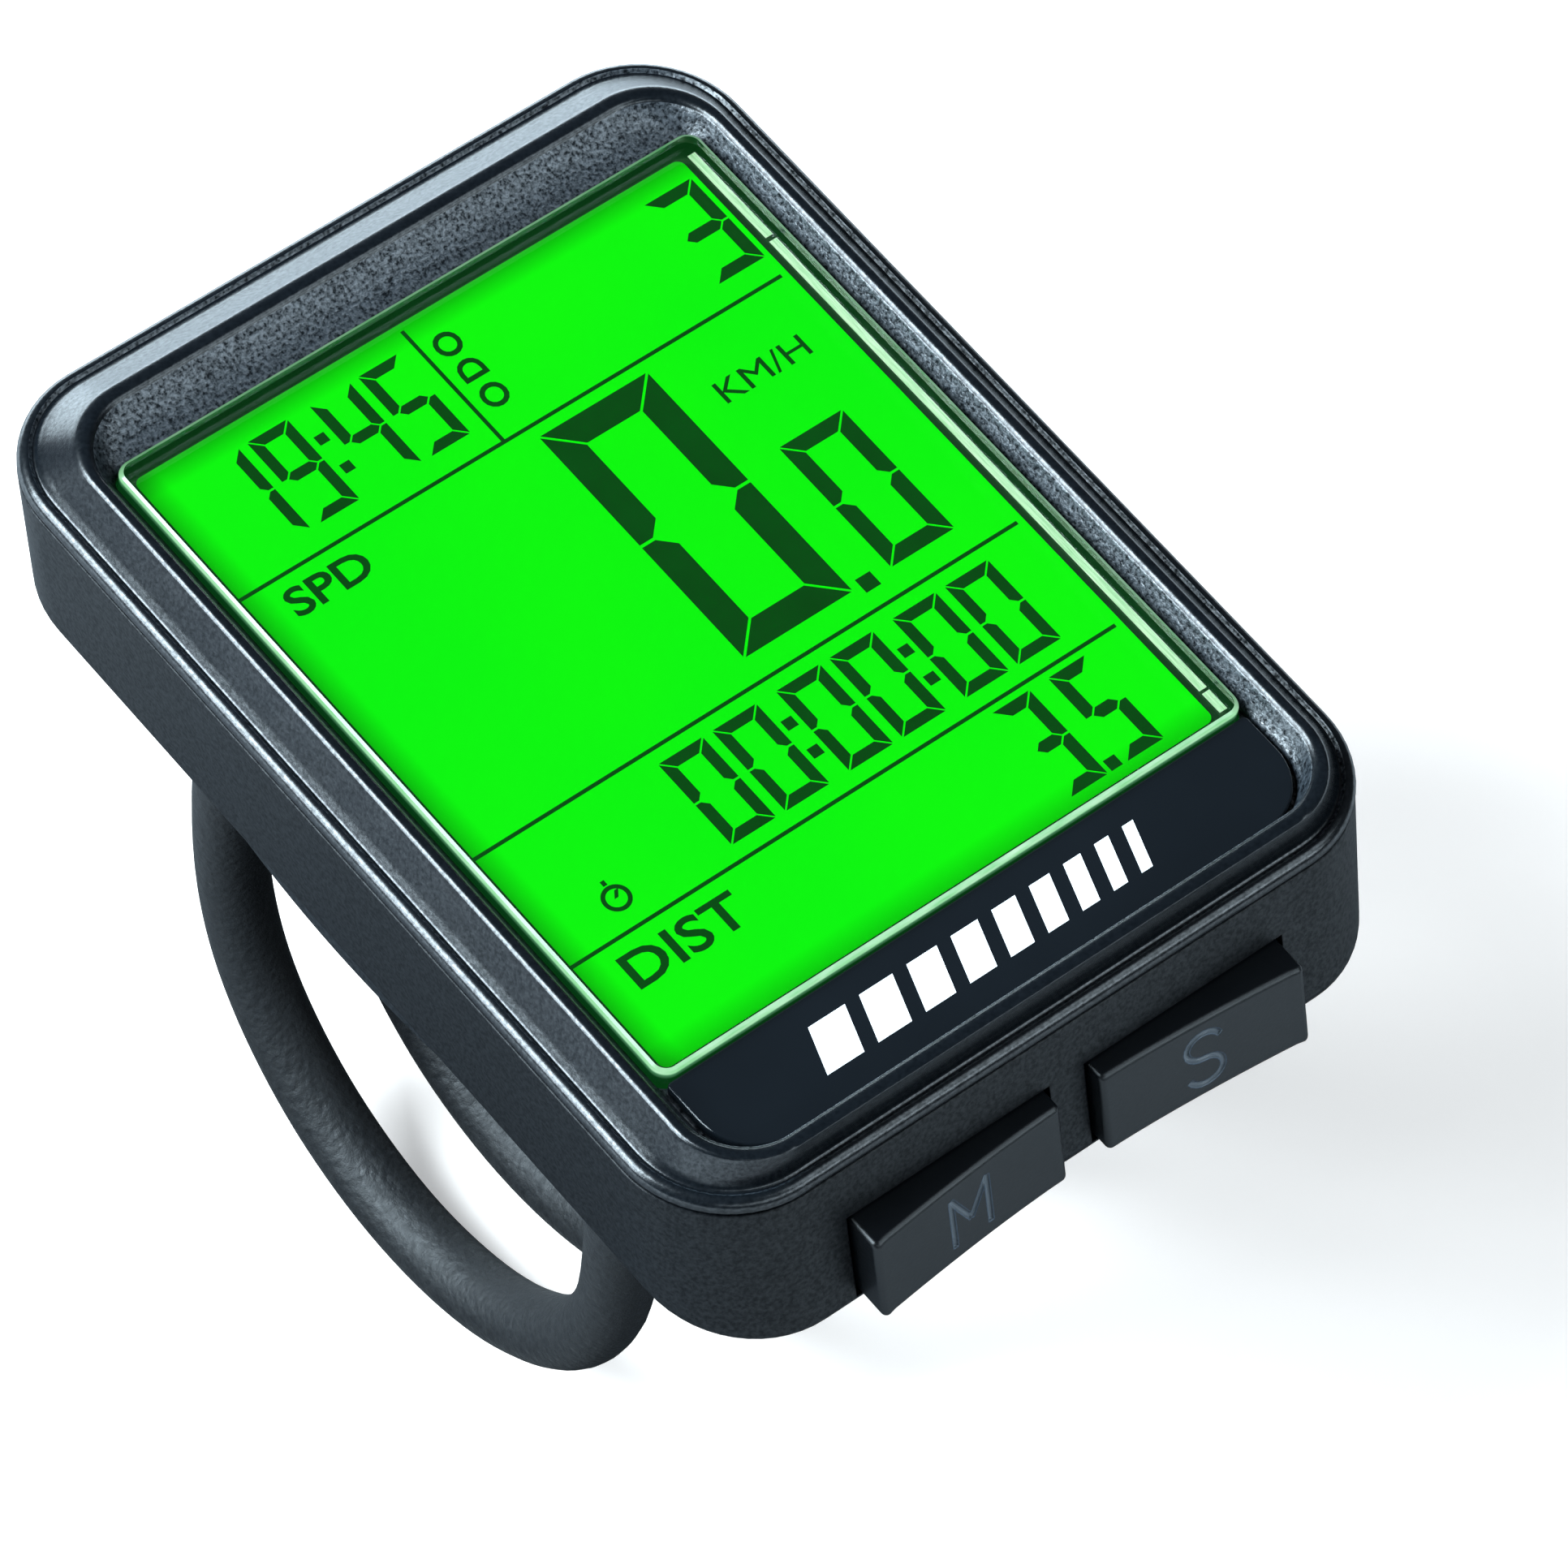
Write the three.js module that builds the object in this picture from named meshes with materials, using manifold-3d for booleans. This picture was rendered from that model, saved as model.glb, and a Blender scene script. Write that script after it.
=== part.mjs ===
// A handlebar cycling computer: a slim head unit that slides off a strapped-on bracket.
// Millimetres, +X to the display's right, +Y to its top, +Z out of it. The origin is the
// middle of the flat strip under the rubber pad, where the pad rests on the handlebar.

import * as THREE from 'three';
import { mergeVertices } from 'three/addons/utils/BufferGeometryUtils.js';
import Module from 'manifold-3d';

const wasm = await Module();
wasm.setup();

// ---------------------------------------------------------------- driving dimensions

const CASE_WIDTH = 45;
const CASE_LENGTH = 60;
const CASE_HEIGHT = 9.2; // underside to the seam with the bezel
const CORNER_RADIUS = 6.3;
const WALL = 1.5;
const FLOOR = 2.4;
const SIDE_DRAFT = 0.4; // each side wall comes in this much at the underside
const FRONT_LEAN = 2.6; // the rider-side wall goes out this much at the underside
const BACK_LEAN = 1.1; // the far wall comes in this much at the underside
const CASE_EDGE = 0.9; // rounding of the case's lower edge
const CASE_Z = 4.0; // underside of the head unit above the handlebar
const SEAM_GAP = 0.15;
const JOIN = 0.2; // overlap where two bodies grow into one
const CLEAR = 0.05; // air between pieces that lie on each other

const CREST_Z = 12.1;
const CREST_WIDTH = 0.5;
const CREST_INSET = { side: 2.6, front: 1.1, back: 3.7 };
const CREST_RADIUS = 4.2;
const SHOULDER = { height: 1.0, radius: 0.5 }; // step between the seam and the rising band

const LENS = { halfX: 18.65, front: -21.75, back: 23, top: 11.5, base: 9.5, chamfer: 0.25, radius: 0.9 };
const LENS_FLANGE = { halfX: 19.3, front: -22.3, back: 23.9, radius: 1, height: 0.5 };
const LENS_ROOM = { face: 0.15, flange: 0.2 };
const FASCIA = { halfX: 18.5, front: -28.1, back: -22.2, top: 11, thickness: 0.7, radius: 3.4 };
const LCD = { halfX: 19.2, front: -22.2, back: 23.6, base: 7.85, top: 9.2 };
const FRAME_RING = { halfX: 20.4, front: -23.5, back: 24.5, base: 6.85, top: 9.4 };
const GUIDE = { halfX: 18.6, front: -18.6, back: 22.2, base: 7.05, top: 7.75 };
const PCB = { halfX: 19.5, front: -23.3, back: 24.2, base: 6.0, top: 6.8 };
const PCB_REST = { radius: 1.2, spots: [[-18, -15], [18, -15], [-18, 19], [18, 19]] };
const LED = { spots: [-10, 0, 10], halfX: 1.5, front: 22.5, back: 23.3, top: 7.5 };
const ZEBRA = { halfX: 17, front: -21.4, back: -19.4 };
const CHIP = { left: -13, right: -6, front: -18.5, back: -11.5, height: 1.25 };
const CRYSTAL = { radius: 1, y: -15, left: 4, right: 10 };
const CAPACITOR = { radius: 1.4, x: 14.6, front: -14, back: -9.4 };
const AERIAL = { y: 20.5, z: 4.2, rod: 1.2, rodHalf: 9, bore: 1.3, coil: 1.75, coilHalf: 5 };

const WELL_Y = 4;
const CELL = { radius: 10, height: 3.2, base: 1.75 };
const WELL = { bore: 10.2, wall: 13.4, ceiling: 5.2, top: 5.75 };
const COVER = { radius: 11.3, base: 0.1, top: 1.65, lugRadius: 12.4, lugBase: 0.95, lugAngle: 24 };
const BAYONET = { bore: 11.5, groove: 12.7, base: 0.8, top: 1.85, turn: 60, count: 3 };
const COVER_SEAL = { ring: 11.2, cord: 0.42, z: 2.12 };
const COIN_SLOT = { halfX: 6.5, halfY: 0.9, top: 0.8 };
const CAP = { radius: 8.6, rise: 0.35 }; // the cell's smaller cap
const LEAF = { halfX: 4, halfY: 1.1, thickness: 0.15, tail: 0.2 };
const BLADE = { near: 10.15, far: 10.45, tab: 12.4, halfY: 1.9, base: 2.9, thickness: 0.2, room: 0.4 };

const KEY = { inner: 1.3, outer: 13.8, base: 0.9, top: 5.9, proud: 1.1, swell: 0.9, depth: 4.2 };
const KEY_POCKET = -27.1; // far end of each key's pocket in the case floor, clear of a pressed key
const KEY_FLANGE = { front: -28.8, back: -28.0, rim: 0.8, base: 2.6, top: 6.5, neck: 0.6 };
const KEY_CORNER = 0.35; // rounding of the key's outer tip
const KEY_STEM = { radius: 1.1, back: -26.6, z: 4.3 };
const KEY_TRAVEL = 0.5;
const KEY_GAP = 0.25;
const SWITCH = { halfX: 3, front: -25.2, back: -21.6, base: 2.7, top: 5.9 };
const PLUNGER = { radius: 0.8, front: -26.5, back: -24.2, room: 0.1, after: 0.3 };

const SCREWS = [[-17.3, -26.2], [17.3, -26.2], [-10, 26.25], [10, 26.25]];
const SCREW = { shank: 0.9, head: 1.8, headHeight: 1.1, base: 0.25, tip: 8.6 };
const RECESS = { halfLength: 1, halfWidth: 0.25, depth: 0.6 }; // cross in each screw's head
const POST = { radius: 1.65, base: 6.1 };
const BOSS = { radius: 2.3, gap: 0.15 };
const GASKET = { middle: 0.75, half: 0.25, base: 8.75, rise: 0.1 };

const RAIL = { x: 17, neck: 0.65, head: 1.5, headBase: 1.1, headTop: 1.7, front: -10.6, back: 11 };
const RAIL_GAP = 0.25;
const RAIL_BED = { halfX: 2.4, front: -12, back: 26, rise: 0.5 }; // thicker floor over each rail
const NOTCH = { halfX: 2.6, front: -14.2, back: -9.8, top: 0.8 }; // over the lever's click bump

const BAR_RADIUS = 14.3;
const PAD = { halfX: 16, halfY: 12, flat: 3.8, slope: 30, thickness: 1.2 };
const PLATE = { halfX: 20.4, bow: 1.0, halfY: 14, base: 1.7, top: 3.7, radius: 3 };
const SADDLE = { halfX: 17.5, halfY: 13.6, base: -4.9 };
const HORN = { x: 11, z: -2.5, peg: 1.8, disc: 3.3, start: 13, end: 18.8, tip: 19.9 };
const STRAP = { cord: 2.0, y: 16.5, gap: 0.15 };
const LEVER = { halfX: 2.8, pivotY: -7.2, pivotZ: 2.7, base: 2.1, top: 3.3, end: -20.5, slot: 3.2 };
const LEVER_PIN = { radius: 0.5, halfLength: 4.2 };

const ARC_STEPS = 3; // half the segments in each rounded corner
const ROUND = 32; // segments in a large circle
const SMALL_ROUND = 14;

// ---------------------------------------------------------------- shape helpers

// A rounded rectangle, counter-clockwise from its right side.
function roundedRect({ halfX, front, back, radius, frontRadius = radius }) {
  const shape = new THREE.Shape();
  shape.absarc(halfX - radius, back - radius, radius, 0, Math.PI / 2);
  shape.absarc(-halfX + radius, back - radius, radius, Math.PI / 2, Math.PI);
  shape.absarc(-halfX + frontRadius, front + frontRadius, frontRadius, Math.PI, 1.5 * Math.PI);
  shape.absarc(halfX - frontRadius, front + frontRadius, frontRadius, 1.5 * Math.PI, 2 * Math.PI);
  return shape;
}

function outlinePoints(outline) {
  const points = roundedRect(outline).getPoints(ARC_STEPS);
  if (points[0].distanceTo(points[points.length - 1]) < 1e-6) {
    points.pop();
  }
  return points;
}

// A closed body through a stack of rounded rectangles, each given with its own z.
function loft(sections) {
  const rings = sections.map(outlinePoints);
  const count = rings[0].length;
  const vertices = [];
  rings.forEach((ring, level) => {
    ring.forEach((point) => vertices.push(point.x, point.y, sections[level].z));
  });
  const ends = [sections[0], sections[sections.length - 1]];
  ends.forEach((end) => vertices.push(0, (end.front + end.back) / 2, end.z));
  const faces = [];
  for (let level = 0; level < rings.length - 1; level += 1) {
    for (let i = 0; i < count; i += 1) {
      const a = level * count + i;
      const b = level * count + ((i + 1) % count);
      faces.push(a, b, b + count, a, b + count, a + count);
    }
  }
  const lowCentre = rings.length * count;
  const lastRing = (rings.length - 1) * count;
  for (let i = 0; i < count; i += 1) {
    const next = (i + 1) % count;
    faces.push(lowCentre, next, i);
    faces.push(lowCentre + 1, lastRing + i, lastRing + next);
  }
  const geometry = new THREE.BufferGeometry();
  geometry.setAttribute('position', new THREE.Float32BufferAttribute(vertices, 3));
  geometry.setIndex(faces);
  return geometry;
}

// The case outline at height z, brought in by an inset.
function caseOutline(z, inset) {
  return {
    halfX: CASE_WIDTH / 2 - inset,
    front: -CASE_LENGTH / 2 + inset,
    back: CASE_LENGTH / 2 - inset,
    radius: Math.max(CORNER_RADIUS - inset, 0.8),
    z,
  };
}

// Draft of the case walls, which grows from nothing at the seam to full at the underside.
function drafted(geometry) {
  const position = geometry.attributes.position;
  const narrowing = SIDE_DRAFT / (CASE_WIDTH / 2);
  const shift = (FRONT_LEAN + BACK_LEAN) / 2;
  const growth = (FRONT_LEAN - BACK_LEAN) / CASE_LENGTH;
  for (let i = 0; i < position.count; i += 1) {
    const depth = Math.max(0, (CASE_HEIGHT - position.getZ(i)) / CASE_HEIGHT);
    position.setX(i, position.getX(i) * (1 - narrowing * depth));
    position.setY(i, position.getY(i) * (1 + growth * depth) - shift * depth);
  }
  return geometry;
}

function solid(geometry) {
  geometry.deleteAttribute('normal');
  geometry.deleteAttribute('uv');
  const merged = mergeVertices(geometry, 1e-5);
  return new wasm.Manifold(new wasm.Mesh({
    numProp: 3,
    vertProperties: Float32Array.from(merged.attributes.position.array),
    triVerts: Uint32Array.from(merged.index.array),
  }));
}

function block([x0, x1], [y0, y1], [z0, z1]) {
  const box = new THREE.BoxGeometry(x1 - x0, y1 - y0, z1 - z0);
  return solid(box.translate((x0 + x1) / 2, (y0 + y1) / 2, (z0 + z1) / 2));
}

// A flat plate with rounded corners, from z0 to z1.
function plate(outline, z0, z1) {
  return solid(loft([{ ...outline, z: z0 }, { ...outline, z: z1 }]));
}

// An upright round bar at (x, y).
function post(radius, [x, y], [z0, z1], segments = SMALL_ROUND) {
  const bar = new THREE.CylinderGeometry(radius, radius, z1 - z0, segments);
  return solid(bar.rotateX(Math.PI / 2).translate(x, y, (z0 + z1) / 2));
}

// A round bar along Y at (x, z).
function rodY(radius, [x, z], [y0, y1], segments = SMALL_ROUND) {
  const bar = new THREE.CylinderGeometry(radius, radius, y1 - y0, segments);
  return solid(bar.translate(x, (y0 + y1) / 2, z));
}

// A round bar along X at (y, z).
function rodX(radius, [y, z], [x0, x1], segments = SMALL_ROUND) {
  const bar = new THREE.CylinderGeometry(radius, radius, x1 - x0, segments);
  return solid(bar.rotateZ(Math.PI / 2).translate((x0 + x1) / 2, y, z));
}

// A slice of a disc: from radius inner to outer, centred on an angle in degrees.
function arcPlate(inner, outer, middle, width, [z0, z1]) {
  const start = THREE.MathUtils.degToRad(middle - width / 2);
  const end = THREE.MathUtils.degToRad(middle + width / 2);
  const shape = new THREE.Shape();
  shape.absarc(0, 0, outer, start, end, false);
  shape.absarc(0, 0, inner, end, start, true);
  const options = { depth: z1 - z0, bevelEnabled: false, curveSegments: ARC_STEPS };
  return solid(new THREE.ExtrudeGeometry(shape, options).translate(0, WELL_Y, z0));
}

// A shape drawn in the Y-Z plane and drawn out along X, centred on x = 0.
function prismX(points, halfX) {
  const shape = new THREE.Shape(points.map(([y, z]) => new THREE.Vector2(y, z)));
  const options = { depth: 2 * halfX, bevelEnabled: false };
  const geometry = new THREE.ExtrudeGeometry(shape, options).translate(0, 0, -halfX);
  const turn = new THREE.Matrix4().set(0, 0, 1, 0, 1, 0, 0, 0, 0, 1, 0, 0, 0, 0, 0, 1);
  return solid(geometry.applyMatrix4(turn));
}

function union(parts) {
  return parts.reduce((sum, part) => sum.add(part));
}

function material(color, roughness, metalness = 0, extra = {}) {
  return new THREE.MeshStandardMaterial({ color, roughness, metalness, ...extra });
}

const blackPlastic = () => material(0x17191c, 0.55);
const glossBlack = () => material(0x0b0c0e, 0.12);
const rubber = () => material(0x1b1c1d, 0.9);
const steel = () => material(0xb9bcc0, 0.3, 1);

const head = new THREE.Group();
head.position.set(0, 0, CASE_Z);
const mount = new THREE.Group();

function addMesh(group, name, body, look) {
  const { vertProperties, triVerts } = body.getMesh();
  const geometry = new THREE.BufferGeometry();
  geometry.setAttribute('position', new THREE.BufferAttribute(vertProperties, 3));
  geometry.setIndex(new THREE.BufferAttribute(triVerts, 1));
  geometry.computeVertexNormals();
  const mesh = new THREE.Mesh(geometry, look);
  mesh.name = name;
  group.add(mesh);
}

// ---------------------------------------------------------------- head unit: shells

// Lower shell: drafted walls, battery well, screw bosses, key windows and rail grooves.
function rearCase() {
  const outer = drafted(loft([
    caseOutline(0, CASE_EDGE),
    caseOutline(CASE_EDGE * 0.3, CASE_EDGE * 0.3),
    caseOutline(CASE_EDGE, 0),
    caseOutline(CASE_HEIGHT, 0),
  ]));
  const hollow = drafted(loft([
    caseOutline(FLOOR, WALL + 0.6),
    caseOutline(FLOOR + 0.6, WALL),
    caseOutline(CASE_HEIGHT + 1, WALL),
  ]));
  const shell = solid(outer).subtract(solid(hollow));
  const foot = FLOOR - JOIN;
  const additions = [
    post(WELL.wall, [0, WELL_Y], [foot, WELL.top], ROUND),
    ...SCREWS.map((spot) => post(BOSS.radius, spot, [foot, POST.base - BOSS.gap])),
    ...[-1, 1].map(railBed),
    ...PCB_REST.spots.map((spot) => post(PCB_REST.radius, spot, [foot, PCB.base - CLEAR])),
  ];
  const cuts = [
    ...batteryWellCuts(),
    ...SCREWS.flatMap((spot) => [
      post(SCREW.shank + 0.2, spot, [-1, CASE_HEIGHT]),
      post(SCREW.head + 0.3, spot, [-1, SCREW.base + SCREW.headHeight + CLEAR]),
    ]),
    ...[-1, 1].flatMap(railGrooves),
    ...[-1, 1].map(keyWindow),
    gasketRing(0.1, 1),
    block([-NOTCH.halfX, NOTCH.halfX], [NOTCH.front, NOTCH.back], [-1, NOTCH.top]),
  ];
  return union([shell, ...additions]).subtract(union(cuts));
}

function railBed(side) {
  const x = side * RAIL.x;
  const spanX = [x - RAIL_BED.halfX, x + RAIL_BED.halfX];
  return block(spanX, [RAIL_BED.front, RAIL_BED.back], [FLOOR - JOIN, FLOOR + RAIL_BED.rise]);
}

// The well, its bayonet grooves and entries, the seal's groove and room for both contacts.
function batteryWellCuts() {
  const at = [0, WELL_Y];
  const sealGroove = post(COVER_SEAL.ring + 0.5, at, [1, 2.6], ROUND)
    .subtract(post(COVER_SEAL.ring - 0.5, at, [0, 3], ROUND));
  const entries = [];
  for (let i = 0; i < BAYONET.count; i += 1) {
    const angle = (360 / BAYONET.count) * i + 90 + BAYONET.turn;
    const width = COVER.lugAngle + 4;
    entries.push(arcPlate(BAYONET.bore - 1, BAYONET.groove, angle, width, [-1, 1]));
  }
  return [
    post(WELL.bore, at, [-1, WELL.ceiling], ROUND),
    post(BAYONET.bore, at, [-1, BAYONET.top], ROUND),
    post(BAYONET.groove, at, [BAYONET.base, BAYONET.top], ROUND),
    sealGroove,
    post(3, at, [WELL.ceiling - 1, WELL.top + 1]),
    block(
      [WELL.bore - 0.6, BLADE.tab + BLADE.room],
      [WELL_Y - BLADE.halfY - BLADE.room, WELL_Y + BLADE.halfY + BLADE.room],
      [BLADE.base - JOIN, WELL.top + 1],
    ),
    ...entries,
  ];
}

// A T-shaped groove under the case, open through the far wall.
function railGrooves(side) {
  const ends = [RAIL.front - 0.3, CASE_LENGTH];
  const x = side * RAIL.x;
  const neck = RAIL.neck + RAIL_GAP;
  const wide = RAIL.head + RAIL_GAP;
  return [
    block([x - neck, x + neck], ends, [-1, RAIL.headBase]),
    block([x - wide, x + wide], ends, [RAIL.headBase - RAIL_GAP, RAIL.headTop + RAIL_GAP]),
  ];
}

function keyWindow(side) {
  const edges = [KEY.inner - KEY_GAP, KEY.outer + KEY_GAP];
  const spanX = edges.map((x) => side * x).sort((a, b) => a - b);
  return block(spanX, [-CASE_LENGTH, KEY_POCKET], [KEY.base - KEY_GAP, KEY.top + KEY_GAP]);
}

// The gasket's path round the case rim: a rounded ring with a little room on each side.
function gasketRing(room, rise) {
  const { middle } = GASKET;
  const half = GASKET.half + room;
  const base = GASKET.base - room;
  const top = CASE_HEIGHT + GASKET.rise + rise;
  const outer = drafted(loft([caseOutline(base, middle - half), caseOutline(top, middle - half)]));
  const inner = drafted(loft([
    caseOutline(base - 1, middle + half),
    caseOutline(top + 1, middle + half),
  ]));
  return solid(outer).subtract(solid(inner));
}

// A rounded rectangle made larger all round.
function widened({ halfX, front, back, radius }, room) {
  return { halfX: halfX + room, front: front - room, back: back + room, radius: radius + room };
}

// Crest outline of the bezel at height z, brought in from the crest line by an inset.
function crestOutline(z, inset) {
  return {
    halfX: CASE_WIDTH / 2 - CREST_INSET.side - inset,
    front: -CASE_LENGTH / 2 + CREST_INSET.front + inset,
    back: CASE_LENGTH / 2 - CREST_INSET.back - inset,
    radius: Math.max(CREST_RADIUS - inset, 0.8),
    z,
  };
}

// Upper shell: rounded shoulder, groove, a band rising to the crest, and the dish inside it.
function frontBezel() {
  const base = CASE_HEIGHT + SEAM_GAP;
  const shoulderZ = CASE_HEIGHT + SHOULDER.height;
  const body = solid(loft([
    caseOutline(base, 0),
    caseOutline(shoulderZ - SHOULDER.radius, 0),
    caseOutline(shoulderZ - SHOULDER.radius * 0.3, SHOULDER.radius * 0.3),
    caseOutline(shoulderZ, SHOULDER.radius),
    caseOutline(shoulderZ - 0.1, SHOULDER.radius + 0.35),
    crestOutline(CREST_Z, 0),
    crestOutline(CREST_Z, CREST_WIDTH),
  ]));
  const window = widened(LENS, LENS_ROOM.face);
  const dishFloor = { ...window, front: FASCIA.front - 0.1, frontRadius: FASCIA.radius + 0.1 };
  const dish = solid(loft([
    { ...dishFloor, z: FASCIA.top - 0.4 },
    { ...dishFloor, z: FASCIA.top - 0.3 },
    crestOutline(CREST_Z, CREST_WIDTH),
    crestOutline(CREST_Z + 0.5, CREST_WIDTH - 0.2),
  ]));
  const below = CASE_HEIGHT - 1;
  const cuts = [
    dish,
    plate(window, below, LENS.top),
    plate(widened(LENS_FLANGE, LENS_ROOM.flange), below, LENS.base + LENS_FLANGE.height + 0.1),
    plate(fasciaOutline(0.1), FASCIA.top - FASCIA.thickness - 0.1, CREST_Z),
    solid(loft([caseOutline(below, WALL), caseOutline(LENS.base + 0.2, WALL)])),
  ];
  const boreZ = [POST.base - 1, SCREW.tip + 0.2];
  const posts = SCREWS.map((spot) => post(POST.radius, spot, [POST.base, LENS.base + 0.5]));
  const bores = SCREWS.map((spot) => post(SCREW.shank + 0.1, spot, boreZ));
  return body.subtract(union(cuts)).add(union(posts)).subtract(union(bores));
}

function fasciaOutline(room) {
  return {
    halfX: FASCIA.halfX + room,
    front: FASCIA.front - room,
    back: FASCIA.back + room,
    radius: 0.4,
    frontRadius: FASCIA.radius + room,
  };
}

function fasciaPanel() {
  return plate(fasciaOutline(0), FASCIA.top - FASCIA.thickness, FASCIA.top);
}

// Clear plate with a chamfered face and a wider flange that seats under the bezel.
function lens() {
  const raised = solid(loft([
    { ...LENS, z: LENS.base },
    { ...LENS, z: LENS.top - LENS.chamfer },
    { ...widened(LENS, -LENS.chamfer), z: LENS.top },
  ]));
  return raised.add(plate(LENS_FLANGE, LENS.base, LENS.base + LENS_FLANGE.height));
}

// ---------------------------------------------------------------- head unit: display stack

function displayFrame() {
  const hole = widened({ ...LCD, radius: 0.35 }, 0.15);
  const ring = plate({ ...FRAME_RING, radius: 1.2 }, FRAME_RING.base, FRAME_RING.top);
  return ring.subtract(plate(hole, FRAME_RING.base - 1, FRAME_RING.top + 1));
}

function backlightLed(x) {
  return block([x - LED.halfX, x + LED.halfX], [LED.front, LED.back], [PCB.top + CLEAR, LED.top]);
}

function displayStack() {
  const sheet = { ...GUIDE, radius: 0.5 };
  const green = material(0x1fd62a, 0.15, 0, { emissive: 0x0a6a10 });
  const clear = material(0xe4f6e6, 0.1, 0, { transparent: true, opacity: 0.6 });
  const white = material(0xf2f2ee, 0.4);
  addMesh(head, 'lcd_panel', plate({ ...LCD, radius: 0.4 }, LCD.base, LCD.top), green);
  addMesh(head, 'display_frame', displayFrame(), blackPlastic());
  addMesh(head, 'light_guide', plate(sheet, GUIDE.base, GUIDE.top), clear);
  addMesh(head, 'reflector_sheet', plate(sheet, PCB.top + 2 * CLEAR, GUIDE.base - CLEAR), white);
  LED.spots.forEach((x, i) => {
    addMesh(head, `backlight_led_${i + 1}`, backlightLed(x), material(0xf4f1cf, 0.3));
  });
  const strip = block(
    [-ZEBRA.halfX, ZEBRA.halfX], [ZEBRA.front, ZEBRA.back], [PCB.top + CLEAR, LCD.base - CLEAR],
  );
  addMesh(head, 'zebra_strip', strip, material(0x8c8f94, 0.7));
}

// ---------------------------------------------------------------- head unit: electronics

function ferriteRod() {
  return rodX(AERIAL.rod, [AERIAL.y, AERIAL.z], [-AERIAL.rodHalf, AERIAL.rodHalf]);
}

function receiverCoil() {
  const { y, z, coil, coilHalf, bore } = AERIAL;
  const winding = rodX(coil, [y, z], [-coilHalf, coilHalf]);
  return winding.subtract(rodX(bore, [y, z], [-coilHalf - 1, coilHalf + 1]));
}

// The parts hang under the board, so each one's top is just below the board's underside.
function electronics() {
  const under = PCB.base - CLEAR;
  const { left, right, front, back, height } = CHIP;
  const chip = block([left, right], [front, back], [under - height, under]);
  const can = [CRYSTAL.y, under - CRYSTAL.radius - CLEAR];
  const drum = [CAPACITOR.x, under - CAPACITOR.radius - CLEAR];
  const crystal = rodX(CRYSTAL.radius, can, [CRYSTAL.left, CRYSTAL.right]);
  const capacitor = rodY(CAPACITOR.radius, drum, [CAPACITOR.front, CAPACITOR.back]);
  const board = plate({ ...PCB, radius: 1.5 }, PCB.base, PCB.top);
  addMesh(head, 'main_pcb', board, material(0x1c5c34, 0.45));
  addMesh(head, 'controller_chip', chip, material(0x101112, 0.5));
  addMesh(head, 'crystal', crystal, steel());
  addMesh(head, 'capacitor', capacitor, material(0x2a2f55, 0.35));
  addMesh(head, 'ferrite_rod', ferriteRod(), material(0x3b3a3a, 0.6));
  addMesh(head, 'receiver_coil', receiverCoil(), material(0xb8662e, 0.35, 0.6));
}

// ---------------------------------------------------------------- head unit: battery

function batteryCover() {
  const at = [0, WELL_Y];
  const { radius, lugRadius, lugAngle, lugBase, base, top } = COVER;
  const lugs = [];
  for (let i = 0; i < BAYONET.count; i += 1) {
    const angle = (360 / BAYONET.count) * i + 90;
    lugs.push(arcPlate(radius - 1, lugRadius, angle, lugAngle, [lugBase, top]));
  }
  const disc = post(radius, at, [base, top], ROUND);
  const slotY = [WELL_Y - COIN_SLOT.halfY, WELL_Y + COIN_SLOT.halfY];
  const coinSlot = block([-COIN_SLOT.halfX, COIN_SLOT.halfX], slotY, [-1, COIN_SLOT.top]);
  return union([disc, ...lugs]).subtract(coinSlot);
}

function coverSeal() {
  const ring = new THREE.TorusGeometry(COVER_SEAL.ring, COVER_SEAL.cord, 6, ROUND);
  return solid(ring.translate(0, WELL_Y, COVER_SEAL.z));
}

// Coin cell: a wide can with the smaller cap on its upper side.
function coinCell() {
  const top = CELL.base + CELL.height;
  const can = post(CELL.radius, [0, WELL_Y], [CELL.base, top - CAP.rise], ROUND);
  return can.add(post(CAP.radius, [0, WELL_Y], [CELL.base + 1, top], ROUND));
}

function contactNegative() {
  const base = CELL.base + CELL.height + CLEAR;
  const spanY = [WELL_Y - LEAF.halfY, WELL_Y + LEAF.halfY];
  const leaf = block([-LEAF.halfX, LEAF.halfX], spanY, [base, base + LEAF.thickness]);
  return leaf.add(block([-LEAF.tail, LEAF.tail], spanY, [base, PCB.base - CLEAR]));
}

function contactPositive() {
  const { near, far, tab, halfY, base, thickness } = BLADE;
  const spanY = [WELL_Y - halfY, WELL_Y + halfY];
  const top = PCB.base - CLEAR;
  return block([near, far], spanY, [base, top]).add(block([near, tab], spanY, [top - thickness, top]));
}

function battery() {
  addMesh(head, 'battery_cover', batteryCover(), blackPlastic());
  addMesh(head, 'cover_seal', coverSeal(), rubber());
  addMesh(head, 'coin_cell', coinCell(), steel());
  addMesh(head, 'contact_negative', contactNegative(), steel());
  addMesh(head, 'contact_positive', contactPositive(), steel());
}

// ---------------------------------------------------------------- head unit: keys

function keyCentre(side) {
  return side * (KEY.inner + KEY.outer) * 0.5;
}

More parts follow.
